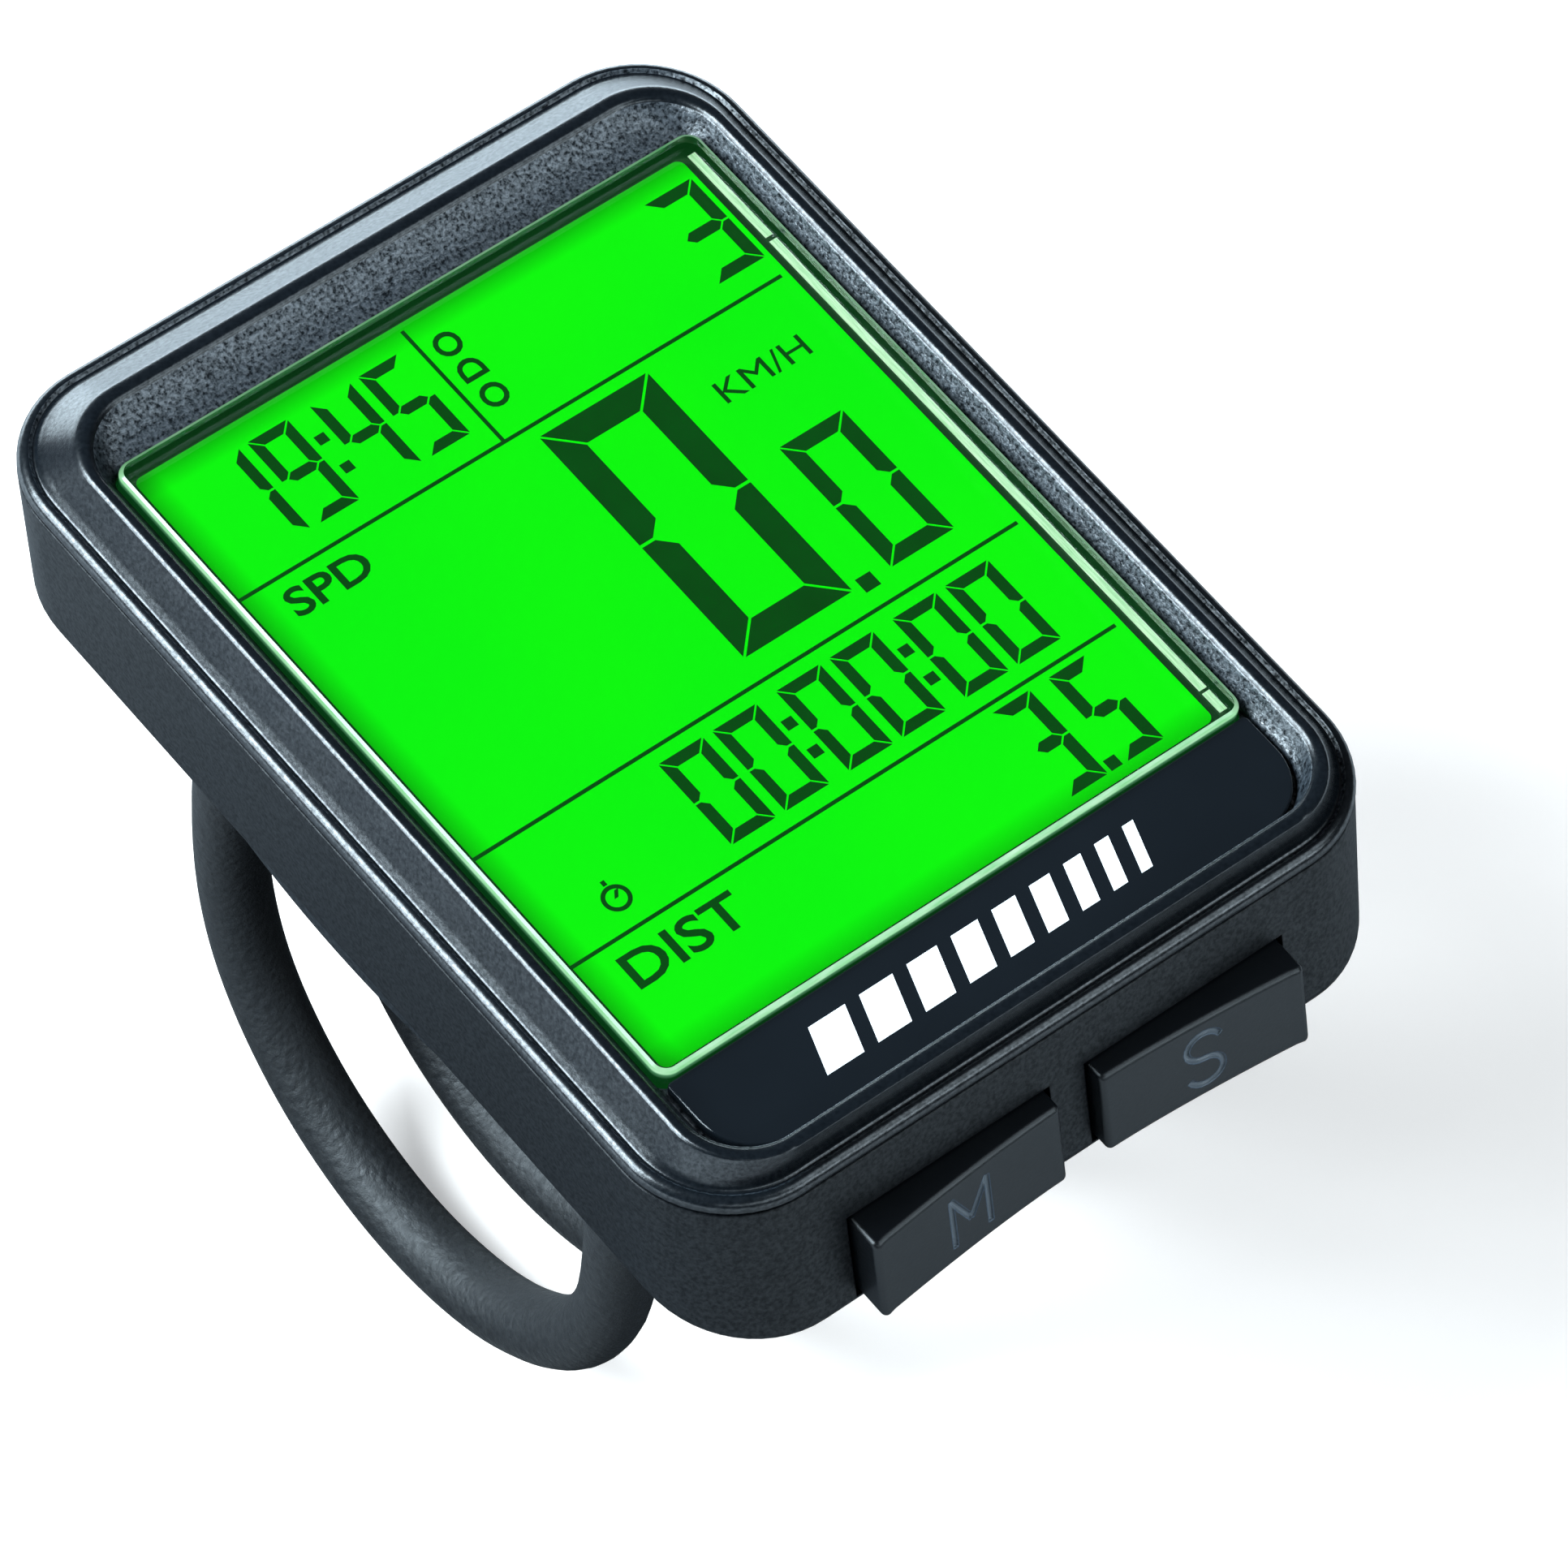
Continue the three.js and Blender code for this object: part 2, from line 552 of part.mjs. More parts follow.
// Key seen from above: a long face that swells away from the case towards its outer end.
function keyFace(side) {
  const wallY = -CASE_LENGTH / 2 - FRONT_LEAN;
  const innerX = side * KEY.inner;
  const outerX = side * KEY.outer;
  const midX = keyCentre(side);
  const tipY = wallY - KEY.proud - KEY.swell;
  const shape = new THREE.Shape();
  shape.moveTo(innerX, wallY + KEY.depth);
  shape.lineTo(innerX, wallY - KEY.proud);
  shape.quadraticCurveTo(midX, wallY - KEY.proud, outerX - side * KEY_CORNER, tipY);
  shape.lineTo(outerX, tipY + KEY_CORNER);
  shape.lineTo(outerX, wallY + KEY.depth);
  const options = { depth: KEY.top - KEY.base, bevelEnabled: false, curveSegments: 10 };
  const geometry = new THREE.ExtrudeGeometry(shape, options).translate(0, 0, KEY.base);
  const lean = FRONT_LEAN / CASE_HEIGHT;
  const shear = new THREE.Matrix4().makeShear(0, 0, 0, 0, 0, lean);
  return solid(geometry.applyMatrix4(shear));
}

// Cap through the window, a flange behind the wall that keeps it in, and a stem to its switch.
function key(side) {
  const centreX = keyCentre(side);
  const halfX = (KEY.outer - KEY.inner) / 2;
  const { front, back, rim, base, top } = KEY_FLANGE;
  const flange = block([centreX - halfX - rim, centreX + halfX + rim], [front, back], [base, top]);
  const neckY = [front - KEY_FLANGE.neck, back];
  const neck = block([centreX - halfX, centreX + halfX], neckY, [base, KEY.top]);
  const stem = rodY(KEY_STEM.radius, [centreX, KEY_STEM.z], [back - JOIN, KEY_STEM.back]);
  return union([keyFace(side), flange, stem, neck]);
}

function switchBody(side) {
  const x = keyCentre(side);
  const { halfX, front, back, base, top } = SWITCH;
  const body = block([x - halfX, x + halfX], [front, back], [base, top]);
  const end = PLUNGER.back + KEY_TRAVEL + PLUNGER.after;
  return body.subtract(rodY(PLUNGER.radius + PLUNGER.room, [x, KEY_STEM.z], [front - 1, end]));
}

function switchPlunger(side) {
  return rodY(PLUNGER.radius, [keyCentre(side), KEY_STEM.z], [PLUNGER.front, PLUNGER.back]);
}

function keys() {
  [['m', -1], ['s', 1]].forEach(([letter, side]) => {
    addMesh(head, `key_${letter}`, key(side), rubber());
    addMesh(head, `switch_${letter}`, switchBody(side), material(0x2b2c2e, 0.5));
    addMesh(head, `plunger_${letter}`, switchPlunger(side), material(0xd9d6cc, 0.5));
  });
}

// ---------------------------------------------------------------- head unit: fasteners

function caseScrew([x, y]) {
  const headTop = SCREW.base + SCREW.headHeight;
  const shank = post(SCREW.shank, [x, y], [headTop - JOIN, SCREW.tip]);
  const cap = post(SCREW.head, [x, y], [SCREW.base, headTop]);
  const { halfLength, halfWidth, depth } = RECESS;
  const recess = [SCREW.base - 1, SCREW.base + depth];
  const cross = [
    block([x - halfLength, x + halfLength], [y - halfWidth, y + halfWidth], recess),
    block([x - halfWidth, x + halfWidth], [y - halfLength, y + halfLength], recess),
  ];
  return cap.add(shank).subtract(union(cross));
}

// ---------------------------------------------------------------- bracket

// Plate outline whose long sides bow outwards.
function bowedPlate() {
  const { halfX, bow, halfY, radius, base, top } = PLATE;
  const shape = new THREE.Shape();
  shape.moveTo(-halfX + radius, -halfY);
  shape.lineTo(halfX - radius, -halfY);
  shape.quadraticCurveTo(halfX, -halfY, halfX + bow * 0.3, -halfY + radius);
  shape.quadraticCurveTo(halfX + bow * 1.6, 0, halfX + bow * 0.3, halfY - radius);
  shape.quadraticCurveTo(halfX, halfY, halfX - radius, halfY);
  shape.lineTo(-halfX + radius, halfY);
  shape.quadraticCurveTo(-halfX, halfY, -halfX - bow * 0.3, halfY - radius);
  shape.quadraticCurveTo(-halfX - bow * 1.6, 0, -halfX - bow * 0.3, -halfY + radius);
  shape.quadraticCurveTo(-halfX, -halfY, -halfX + radius, -halfY);
  const options = { depth: top - base, bevelEnabled: false, curveSegments: 8 };
  return solid(new THREE.ExtrudeGeometry(shape, options).translate(0, 0, base));
}

// Height of the pad's sloped side at distance y from the middle, at a given thickness.
function padHeight(y, thickness) {
  const slope = Math.tan(THREE.MathUtils.degToRad(PAD.slope));
  return thickness - slope * (y - PAD.flat - 0.3 * thickness);
}

function padProfile(thickness) {
  return [
    [-PAD.halfY, padHeight(PAD.halfY, thickness)],
    [-PAD.flat - 0.3 * thickness, thickness],
    [PAD.flat + 0.3 * thickness, thickness],
    [PAD.halfY, padHeight(PAD.halfY, thickness)],
  ];
}

// Rubber liner that turns the saddle into a shallow V with a flat middle strip.
function rubberPad() {
  const upper = padProfile(PAD.thickness);
  const lower = padProfile(0).reverse();
  return prismX([...lower, ...upper], PAD.halfX);
}

function saddle() {
  const gap = 0.06;
  const cut = padProfile(PAD.thickness).map(([y, z]) => [y, z + gap]);
  const lip = PAD.halfY + 0.15;
  cut[0][0] = -lip;
  cut[3][0] = lip;
  const outline = [
    [-SADDLE.halfY, PLATE.base + 0.2],
    [-SADDLE.halfY, SADDLE.base],
    [-lip, SADDLE.base],
    ...cut,
    [lip, SADDLE.base],
    [SADDLE.halfY, SADDLE.base],
    [SADDLE.halfY, PLATE.base + 0.2],
  ];
  return prismX(outline.reverse(), SADDLE.halfX);
}

function horn(sideX, sideY) {
  const spot = [sideX * HORN.x, HORN.z];
  const along = (from, to) => [sideY * from, sideY * to].sort((a, b) => a - b);
  const peg = rodY(HORN.peg, spot, along(HORN.start, HORN.tip - 0.1));
  const disc = rodY(HORN.disc, spot, along(HORN.end, HORN.tip), 20);
  return peg.add(disc);
}

function rail(side) {
  const x = side * RAIL.x;
  const ends = [RAIL.front, RAIL.back];
  const neck = block([x - RAIL.neck, x + RAIL.neck], ends, [PLATE.top - 0.2, CASE_Z + RAIL.headTop]);
  const wide = block(
    [x - RAIL.head, x + RAIL.head], ends, [CASE_Z + RAIL.headBase, CASE_Z + RAIL.headTop],
  );
  return neck.add(wide);
}

function bracket() {
  const solids = [bowedPlate(), saddle(), rail(-1), rail(1)];
  [-1, 1].forEach((sideX) => [-1, 1].forEach((sideY) => solids.push(horn(sideX, sideY))));
  const leverSlot = block([-LEVER.slot, LEVER.slot], [-20, LEVER.pivotY + 1.3], [1.2, 5]);
  const pinHole = rodX(LEVER_PIN.radius + 0.05, [LEVER.pivotY, LEVER.pivotZ], [-4.4, 4.4]);
  return union(solids).subtract(leverSlot).subtract(pinHole);
}

// Tongue with a finger tip, a low click bump and a barrel round its pin.
function releaseLever() {
  const spanX = [-LEVER.halfX, LEVER.halfX];
  const tongue = block(spanX, [LEVER.end, LEVER.pivotY], [LEVER.base, LEVER.top]);
  const tip = block(spanX, [LEVER.end, LEVER.end + 1.4], [LEVER.base - 1.6, LEVER.top]);
  const barrel = rodX(0.95, [LEVER.pivotY, LEVER.pivotZ], spanX);
  const bump = rodX(0.8, [-12, LEVER.top - 0.3], [-1.8, 1.8]);
  const bore = rodX(LEVER_PIN.radius + 0.06, [LEVER.pivotY, LEVER.pivotZ], [-5, 5]);
  return union([tongue, tip, barrel, bump]).subtract(bore);
}

// Closed centre line of a strap: over one peg, under the handlebar and over the other peg.
class StrapPath extends THREE.Curve {
  constructor(centreX) {
    super();
    const loop = HORN.peg + STRAP.gap + STRAP.cord;
    const wrap = BAR_RADIUS + STRAP.cord + 0.1;
    const points = [];
    const strand = (side) => {
      for (let i = 0; i <= 6; i += 1) {
        const angle = THREE.MathUtils.degToRad(-80 * side + (160 * side * i) / 6);
        const y = wrap * Math.sin(angle);
        const z = -BAR_RADIUS - wrap * Math.cos(angle);
        points.push(new THREE.Vector3(centreX + side * loop, y, z));
      }
    };
    const bend = (side) => {
      for (let i = 0; i <= 4; i += 1) {
        const angle = (Math.PI * i) / 4;
        const x = centreX + side * loop * Math.cos(angle);
        points.push(new THREE.Vector3(x, side * STRAP.y, HORN.z + loop * Math.sin(angle)));
      }
    };
    strand(1);
    bend(1);
    strand(-1);
    bend(-1);
    this.spline = new THREE.CatmullRomCurve3(points, true, 'centripetal');
  }

  getPoint(t, target = new THREE.Vector3()) {
    return this.spline.getPoint(t, target);
  }
}

function strap(centreX) {
  return solid(new THREE.TubeGeometry(new StrapPath(centreX), 64, STRAP.cord, 8, true));
}

// ---------------------------------------------------------------- assembly

addMesh(head, 'rear_case', rearCase(), blackPlastic());
addMesh(head, 'front_bezel', frontBezel(), blackPlastic());
addMesh(head, 'fascia_panel', fasciaPanel(), glossBlack());
addMesh(head, 'lens', lens(), material(0xf4fff6, 0.05, 0, { transparent: true, opacity: 0.3 }));
addMesh(head, 'case_seal', gasketRing(0, 0), rubber());
displayStack();
electronics();
battery();
keys();
SCREWS.forEach((spot, i) => addMesh(head, `case_screw_${i + 1}`, caseScrew(spot), steel()));

addMesh(mount, 'bracket', bracket(), blackPlastic());
addMesh(mount, 'rubber_pad', rubberPad(), rubber());
addMesh(mount, 'release_lever', releaseLever(), blackPlastic());
const pinSpan = [-LEVER_PIN.halfLength, LEVER_PIN.halfLength];
addMesh(mount, 'lever_pin', rodX(LEVER_PIN.radius, [LEVER.pivotY, LEVER.pivotZ], pinSpan), steel());
addMesh(mount, 'strap_left', strap(-HORN.x), rubber());
addMesh(mount, 'strap_right', strap(HORN.x), rubber());

const cyclingComputer = new THREE.Group();
cyclingComputer.name = 'cycling_computer';
cyclingComputer.add(head, mount);

export default cyclingComputer;
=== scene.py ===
"""Looks of the handlebar cycling computer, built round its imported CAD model.

Lengths are millimetres in the part's own frame until a mesh is made: +X is the display's right,
+Y its top and +Z points out of the display.
"""
import math

import bmesh
import bpy
from mathutils import Matrix, Vector


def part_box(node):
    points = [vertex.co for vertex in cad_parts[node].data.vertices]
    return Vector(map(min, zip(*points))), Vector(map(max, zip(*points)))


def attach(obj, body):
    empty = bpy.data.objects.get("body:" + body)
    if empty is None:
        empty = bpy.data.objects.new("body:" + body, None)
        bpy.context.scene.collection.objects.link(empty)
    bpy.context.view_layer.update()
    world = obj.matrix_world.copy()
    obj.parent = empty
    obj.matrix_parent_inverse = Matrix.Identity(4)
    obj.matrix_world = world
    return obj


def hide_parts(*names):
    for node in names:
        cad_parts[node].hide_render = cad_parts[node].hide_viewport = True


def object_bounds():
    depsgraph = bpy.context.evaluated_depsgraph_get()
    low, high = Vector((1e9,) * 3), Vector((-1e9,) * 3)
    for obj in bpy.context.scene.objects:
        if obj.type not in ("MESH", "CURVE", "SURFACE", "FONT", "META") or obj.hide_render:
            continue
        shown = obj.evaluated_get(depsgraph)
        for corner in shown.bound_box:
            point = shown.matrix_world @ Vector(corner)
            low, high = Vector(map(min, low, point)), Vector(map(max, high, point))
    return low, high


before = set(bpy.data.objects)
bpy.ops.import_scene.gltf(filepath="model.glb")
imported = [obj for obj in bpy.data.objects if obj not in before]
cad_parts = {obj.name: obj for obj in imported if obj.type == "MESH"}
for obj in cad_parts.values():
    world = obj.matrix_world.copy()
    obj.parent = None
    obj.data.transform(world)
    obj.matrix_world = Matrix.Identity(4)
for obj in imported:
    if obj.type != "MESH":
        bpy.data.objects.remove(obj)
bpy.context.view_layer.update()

MM = 0.001


def box_mm(node):
    """Lowest and highest corner of a CAD node in millimetres."""
    low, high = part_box(node)
    return low / MM, high / MM


# -------- places from the frame

CASE_LOW, CASE_HIGH = box_mm("rear_case")
BEZEL_HIGH = box_mm("front_bezel")[1]
LENS_LOW, LENS_HIGH = box_mm("lens")
LCD_LOW, LCD_HIGH = box_mm("lcd_panel")
FASCIA_LOW, FASCIA_HIGH = box_mm("fascia_panel")

HALF_WIDTH = BEZEL_HIGH.x
HALF_LENGTH = BEZEL_HIGH.y
Z_UNDERSIDE = CASE_LOW.z
Z_SEAM = CASE_HIGH.z
Z_CREST = BEZEL_HIGH.z
CASE_HEIGHT = Z_SEAM - Z_UNDERSIDE

# The same styling dimensions as the CAD model.
CORNER_RADIUS = 6.3
SEAM_GAP = 0.15
WALL = 1.5
FLOOR = 2.4
SIDE_DRAFT = 0.4
FRONT_LEAN = 2.6
BACK_LEAN = 1.1
CREST_INSET = {"side": 2.5, "front": 1.1, "back": 3.7}
CREST_RADIUS = 4.2
CREST_WIDTH = 0.5
DISH_START = 0.23  # below the crest; the slope from here to the lens is blasted
FRONT_CREST_GROWTH = 1.8  # the crest is this much wider along the front
FASCIA_FRONT = FASCIA_LOW.y + 0.35
LENS_FLANGE = 0.5
LENS_HALF_X = 18.65
LENS_FRONT = -21.75
LENS_BACK = 23.0
FASCIA_RADIUS = 3.4
WELL_Y = 4.0
KEY_WIDTH = 12.5
KEY_INNER = 1.3
KEY_OUTER = KEY_INNER + KEY_WIDTH
KEY_WALL_Y = -HALF_LENGTH - FRONT_LEAN
KEY_PROUD = 1.1
KEY_SWELL = 0.9
KEY_DEPTH = 4.0
KEY_BASE = 0.9
KEY_TOP = 5.9
KEY_CORNER = 0.35
GROOVE_RADIUS = 0.17  # of the letters cut into the keys

LIT = {"left": -17.75, "right": 17.62, "front": -20.75, "back": 22.55}  # lit area of the panel

CORNER_STEPS = 14


# -------- mesh helpers

def polar(radius, angle, centre=(0, 0)):
    return (centre[0] + radius * math.cos(angle), centre[1] + radius * math.sin(angle))


def arc_steps(start, end, count):
    """Angles in radians from start to end, which are in degrees."""
    for i in range(count + 1):
        yield math.radians(start + (end - start) * i / count)


def arc_points(radius, start, end, count, centre=(0, 0)):
    return [polar(radius, angle, centre) for angle in arc_steps(start, end, count)]


def outline(half_x, front, back, radius, front_radius=None):
    """Points of a rounded rectangle, counter-clockwise seen from +Z."""
    front_radius = radius if front_radius is None else front_radius
    corners = [
        (half_x - radius, back - radius, radius, 0),
        (-half_x + radius, back - radius, radius, 90),
        (-half_x + front_radius, front + front_radius, front_radius, 180),
        (half_x - front_radius, front + front_radius, front_radius, 270),
    ]
    points = []
    for x, y, r, start in corners:
        points += arc_points(r, start, start + 90, CORNER_STEPS, (x, y))
    return points


def add_object(name, data):
    obj = bpy.data.objects.new(name, data)
    bpy.context.scene.collection.objects.link(obj)
    return obj


def smooth_shading(mesh, angle=35):
    """Smooth shading, except across edges sharper than an angle in degrees."""
    mesh.polygons.foreach_set("use_smooth", [True] * len(mesh.polygons))
    mesh.set_sharp_from_angle(angle=math.radians(angle))


def new_object(name, bm, angle=35):
    """A mesh object in metres from a bmesh in millimetres."""
    bmesh.ops.scale(bm, vec=(MM, MM, MM), verts=bm.verts)
    bmesh.ops.recalc_face_normals(bm, faces=bm.faces)
    mesh = bpy.data.meshes.new(name)
    bm.to_mesh(mesh)
    bm.free()
    smooth_shading(mesh, angle)
    return add_object(name, mesh)


def add_wall(bm, low, high, turn=0):
    """Faces between two rings of vertices, the second of them turned by some places."""
    count = len(low)
    for i in range(count):
        j = (i + 1) % count
        bm.faces.new((low[i], low[j], high[(j + turn) % count], high[(i + turn) % count]))


def add_ends(bm, low, high):
    bm.faces.new(list(reversed(low)))
    bm.faces.new(high)


def loft_bmesh(rings, closed=False, turn=0):
    """Joins rings of 3-D points. A closed loft wraps from the last ring to the turned first."""
    bm = bmesh.new()
    levels = [[bm.verts.new(p) for p in ring] for ring in rings]
    for low, high in zip(levels, levels[1:]):
        add_wall(bm, low, high)
    if closed:
        add_wall(bm, levels[-1], levels[0], turn)
    else:
        add_ends(bm, levels[0], levels[-1])
    return bm


def add_prism(bm, corners, low, high):
    """A flat shape drawn up from low to high."""
    bottom = [bm.verts.new(p) for p in at_z(corners, low)]
    top = [bm.verts.new(p) for p in at_z(corners, high)]
    add_ends(bm, bottom, top)
    add_wall(bm, bottom, top)


def at_z(points, z):
    return [(x, y, z) for x, y in points]


def drafted(points):
    """The lean of the case walls, which grows from the seam down to the underside."""
    out = []
    for x, y, z in points:
        depth = max(0.0, (Z_SEAM - z) / CASE_HEIGHT)
        x *= 1 - SIDE_DRAFT / HALF_WIDTH * depth
        y *= 1 + (FRONT_LEAN - BACK_LEAN) / (2 * HALF_LENGTH) * depth
        y -= (FRONT_LEAN + BACK_LEAN) / 2 * depth
        out.append((x, y, z))
    return out


def case_ring(z, inset):
    radius = max(CORNER_RADIUS - inset, 0.8)
    points = outline(HALF_WIDTH - inset, -HALF_LENGTH + inset, HALF_LENGTH - inset, radius)
    return drafted(at_z(points, z))


def crest_ring(z, inset):
    radius = max(CREST_RADIUS - inset, 0.8)
    points = outline(
        HALF_WIDTH - CREST_INSET["side"] - inset,
        -HALF_LENGTH + CREST_INSET["front"] + inset * FRONT_CREST_GROWTH,
        HALF_LENGTH - CREST_INSET["back"] - inset,
        radius,
    )
    return at_z(points, z)


def mix_rings(a, b, share, z):
    return [(p[0] + (q[0] - p[0]) * share, p[1] + (q[1] - p[1]) * share, z) for p, q in zip(a, b)]


def box_bmesh(low, high):
    bm = bmesh.new()
    bmesh.ops.create_cube(bm, size=1)
    size = [h - l for l, h in zip(low, high)]
    middle = [(l + h) / 2 for l, h in zip(low, high)]
    bmesh.ops.scale(bm, vec=size, verts=bm.verts)
    bmesh.ops.translate(bm, vec=middle, verts=bm.verts)
    return bm


def round_bmesh(profile, centre, axis="Z", segments=64):
    """A turned body from (position, radius) steps along an axis.

    centre gives the other two coordinates of the axis.
    """
    turn = [2 * math.pi * i / segments for i in range(segments)]
    bm = loft_bmesh([at_z([polar(r, t) for t in turn], position) for position, r in profile])
    a, b = centre
    turns = {
        "Z": Matrix.Translation((a, b, 0)),
        "Y": Matrix.Translation((a, 0, b)) @ Matrix.Rotation(math.radians(-90), 4, "X"),
        "X": Matrix.Translation((0, a, b)) @ Matrix.Rotation(math.radians(90), 4, "Y"),
    }
    bmesh.ops.transform(bm, matrix=turns[axis], verts=bm.verts)
    return bm


def cylinder_bmesh(radius, low, high, centre, axis="Z", segments=64):
    return round_bmesh([(low, radius), (high, radius)], centre, axis, segments)


def quarter_round(radius, steps=5):
    """(rise, inset) steps up a quarter circle that ends at full width."""
    return [(radius * (1 - math.cos(a)), radius * (1 - math.sin(a))) for a in arc_steps(0, 90, steps)]


def rounded_levels(low, high, edge):
    """(position, inset) steps of a body between low and high whose two rims are rounded."""
    rim = quarter_round(edge)
    levels = [(low + rise, inset) for rise, inset in rim]
    return levels + [(high - drop, inset) for drop, inset in reversed(rim)]


def inset_points(points, distance):
    """An outline, counter-clockwise, brought in by a distance."""
    count = len(points)
    moved = []
    for i in range(count):
        before, here, after = (Vector(points[(i + k) % count]) for k in (-1, 0, 1))
        leaving = (after - here).normalized()
        along = ((here - before).normalized() + leaving).normalized()
        reach = distance / max(0.4, along.dot(leaving))
        moved.append((here.x - along.y * reach, here.y + along.x * reach))
    return moved


def slab_bmesh(points, low, high, edge, axis="Z"):
    """An outline drawn out from low to high with rounded rims.

    Along Z the outline is (x, y), along X it is (y, z) and along Y it is (x, z).
    """
    order = {"Z": (0, 1, 2), "X": (2, 0, 1), "Y": (0, 2, 1)}[axis]
    rings = []
    for position, inset in rounded_levels(low, high, edge):
        ring = at_z(inset_points(points, inset), position)
        rings.append([tuple(p[k] for k in order) for p in ring])
    return loft_bmesh(rings)


def final_mesh(obj):
    """A copy of an object's mesh with its modifiers applied."""
    depsgraph = bpy.context.evaluated_depsgraph_get()
    return bpy.data.meshes.new_from_object(obj.evaluated_get(depsgraph))


def boolean(obj, bodies, operation="DIFFERENCE"):
    """Cuts bodies, which are bmeshes, from obj, or joins them to it."""
    tools = [new_object("tool", body) for body in bodies]
    for tool in tools:
        modifier = obj.modifiers.new("boolean", "BOOLEAN")
        modifier.operation = operation
        modifier.solver = "EXACT"
        modifier.object = tool
    result = final_mesh(obj)
    obj.modifiers.clear()
    obj.data = result
    for tool in tools:
        bpy.data.objects.remove(tool)
    smooth_shading(result)


def place(obj, body, node, slot, *materials):
    """Gives a finished piece its materials and its body, and hides the CAD node it stands for.

    Weighted normals keep big flat faces flat, so that only their narrow edges turn the light.
    """
    obj.data.materials.clear()
    for material in materials:
        obj.data.materials.append(material)
    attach(obj, body)
    if node:
        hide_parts(node)
    weighted = obj.modifiers.new("even_shading", "WEIGHTED_NORMAL")
    weighted.keep_sharp = True
    weighted.weight = 100


# -------- material helpers

class Shader:
    """A node material under construction, with its texture space in millimetres."""

    def __init__(self, name):
        self.material = bpy.data.materials.new(name)
        self.material.use_nodes = True
        self.tree = self.material.node_tree
        self.surface = self.tree.nodes["Principled BSDF"]
        place = self.node("ShaderNodeTexCoord").outputs["Object"]
        scaled = self.node("ShaderNodeVectorMath", operation="SCALE", Vector=place, Scale=1 / MM)
        self.space = scaled.outputs[0]

    def node(self, kind, **values):
        """Adds a node; a value for an input name is set or linked, any other is a property."""
        node = self.tree.nodes.new(kind)
        for name, value in values.items():
            label = name.replace("_", " ")
            if label in node.inputs:
                self.feed(node.inputs[label], value)
            else:
                setattr(node, name, value)
        return node

    def feed(self, socket, value):
        if isinstance(value, bpy.types.NodeSocket):
            self.tree.links.new(value, socket)
        elif socket.type == "RGBA":
            socket.default_value = (*value, 1.0)
        else:
            socket.default_value = value

    def set(self, **values):
        """Sets or links inputs of the surface."""
        for name, value in values.items():
            self.feed(self.surface.inputs[name.replace("_", " ")], value)

    def lit(self, colour, base, roughness=0.5, specular=0.2, strength=1.0):
        """Finishes a surface that gives light of its own."""
        self.set(Base_Color=base, Roughness=roughness, Specular_IOR_Level=specular)
        self.set(Emission_Color=colour, Emission_Strength=strength)
        return self.material

    def noise(self, scale, detail=2.0, roughness=0.5, stretch=None):
        vector = self.space
        if stretch:
            vector = self.node("ShaderNodeMapping", Vector=vector, Scale=stretch).outputs["Vector"]
        node = self.node("ShaderNodeTexNoise", Vector=vector, Scale=scale, Detail=detail)
        node.inputs["Roughness"].default_value = roughness
        return node.outputs["Fac"]

    def cells(self, scale):
        node = self.node("ShaderNodeTexVoronoi", Vector=self.space, Scale=scale, feature="SMOOTH_F1")
        return node.outputs["Distance"]

    def spread(self, value, low, high, start=0.3, end=0.7):
        """Maps start to low and end to high, with nothing beyond them."""
        node = self.node("ShaderNodeMapRange", Value=value, From_Min=start, From_Max=end)
        node.inputs["To Min"].default_value = low
        node.inputs["To Max"].default_value = high
        return node.outputs["Result"]

    def blend(self, factor, a, b, kind="MIX"):
        node = self.node("ShaderNodeMix", data_type="RGBA", blend_type=kind)
        for name, value in (("Factor", factor), ("A", a), ("B", b)):
            self.feed(node.inputs[name], value)
        return node.outputs["Result"]

    def product(self, a, b):
        node = self.node("ShaderNodeMath", operation="MULTIPLY")
        self.feed(node.inputs[0], a)
        self.feed(node.inputs[1], b)
        return node.outputs["Value"]

    def dot(self, a, b):
        node = self.node("ShaderNodeVectorMath", operation="DOT_PRODUCT")
        self.feed(node.inputs[0], a)
        self.feed(node.inputs[1], b)
        return node.outputs["Value"]

    def axes(self):
        """The three coordinates of the shaded point, in millimetres."""
        return self.node("ShaderNodeSeparateXYZ", Vector=self.space).outputs

    def normal(self):
        return self.node("ShaderNodeNewGeometry").outputs["Normal"]

    def bump(self, height, depth, normal=None):
        """Bump from a 0..1 height, with its full depth in millimetres."""
        node = self.node("ShaderNodeBump", Height=height, Distance=depth * MM)
        if normal:
            self.feed(node.inputs["Normal"], normal)
        return node.outputs["Normal"]

    def rounded_edges(self, radius):
        return self.node("ShaderNodeBevel", samples=4, Radius=radius * MM).outputs["Normal"]

    def edges(self, rounded):
        """About 1 on sharp edges and 0 on flats, from how far rounding turns the normal."""
        return self.spread(self.dot(rounded, self.normal()), 1.0, 0.0, 0.8, 0.99)


def scaled(colour, factor, lift=0.0):
    return tuple(c * factor + lift for c in colour)


def srgb(red, green, blue):
    """Linear colour from 0..255 display values."""
    def linear(value):
        share = value / 255
        return share / 12.92 if share <= 0.04045 else ((share + 0.055) / 1.055) ** 2.4
    return (linear(red), linear(green), linear(blue))


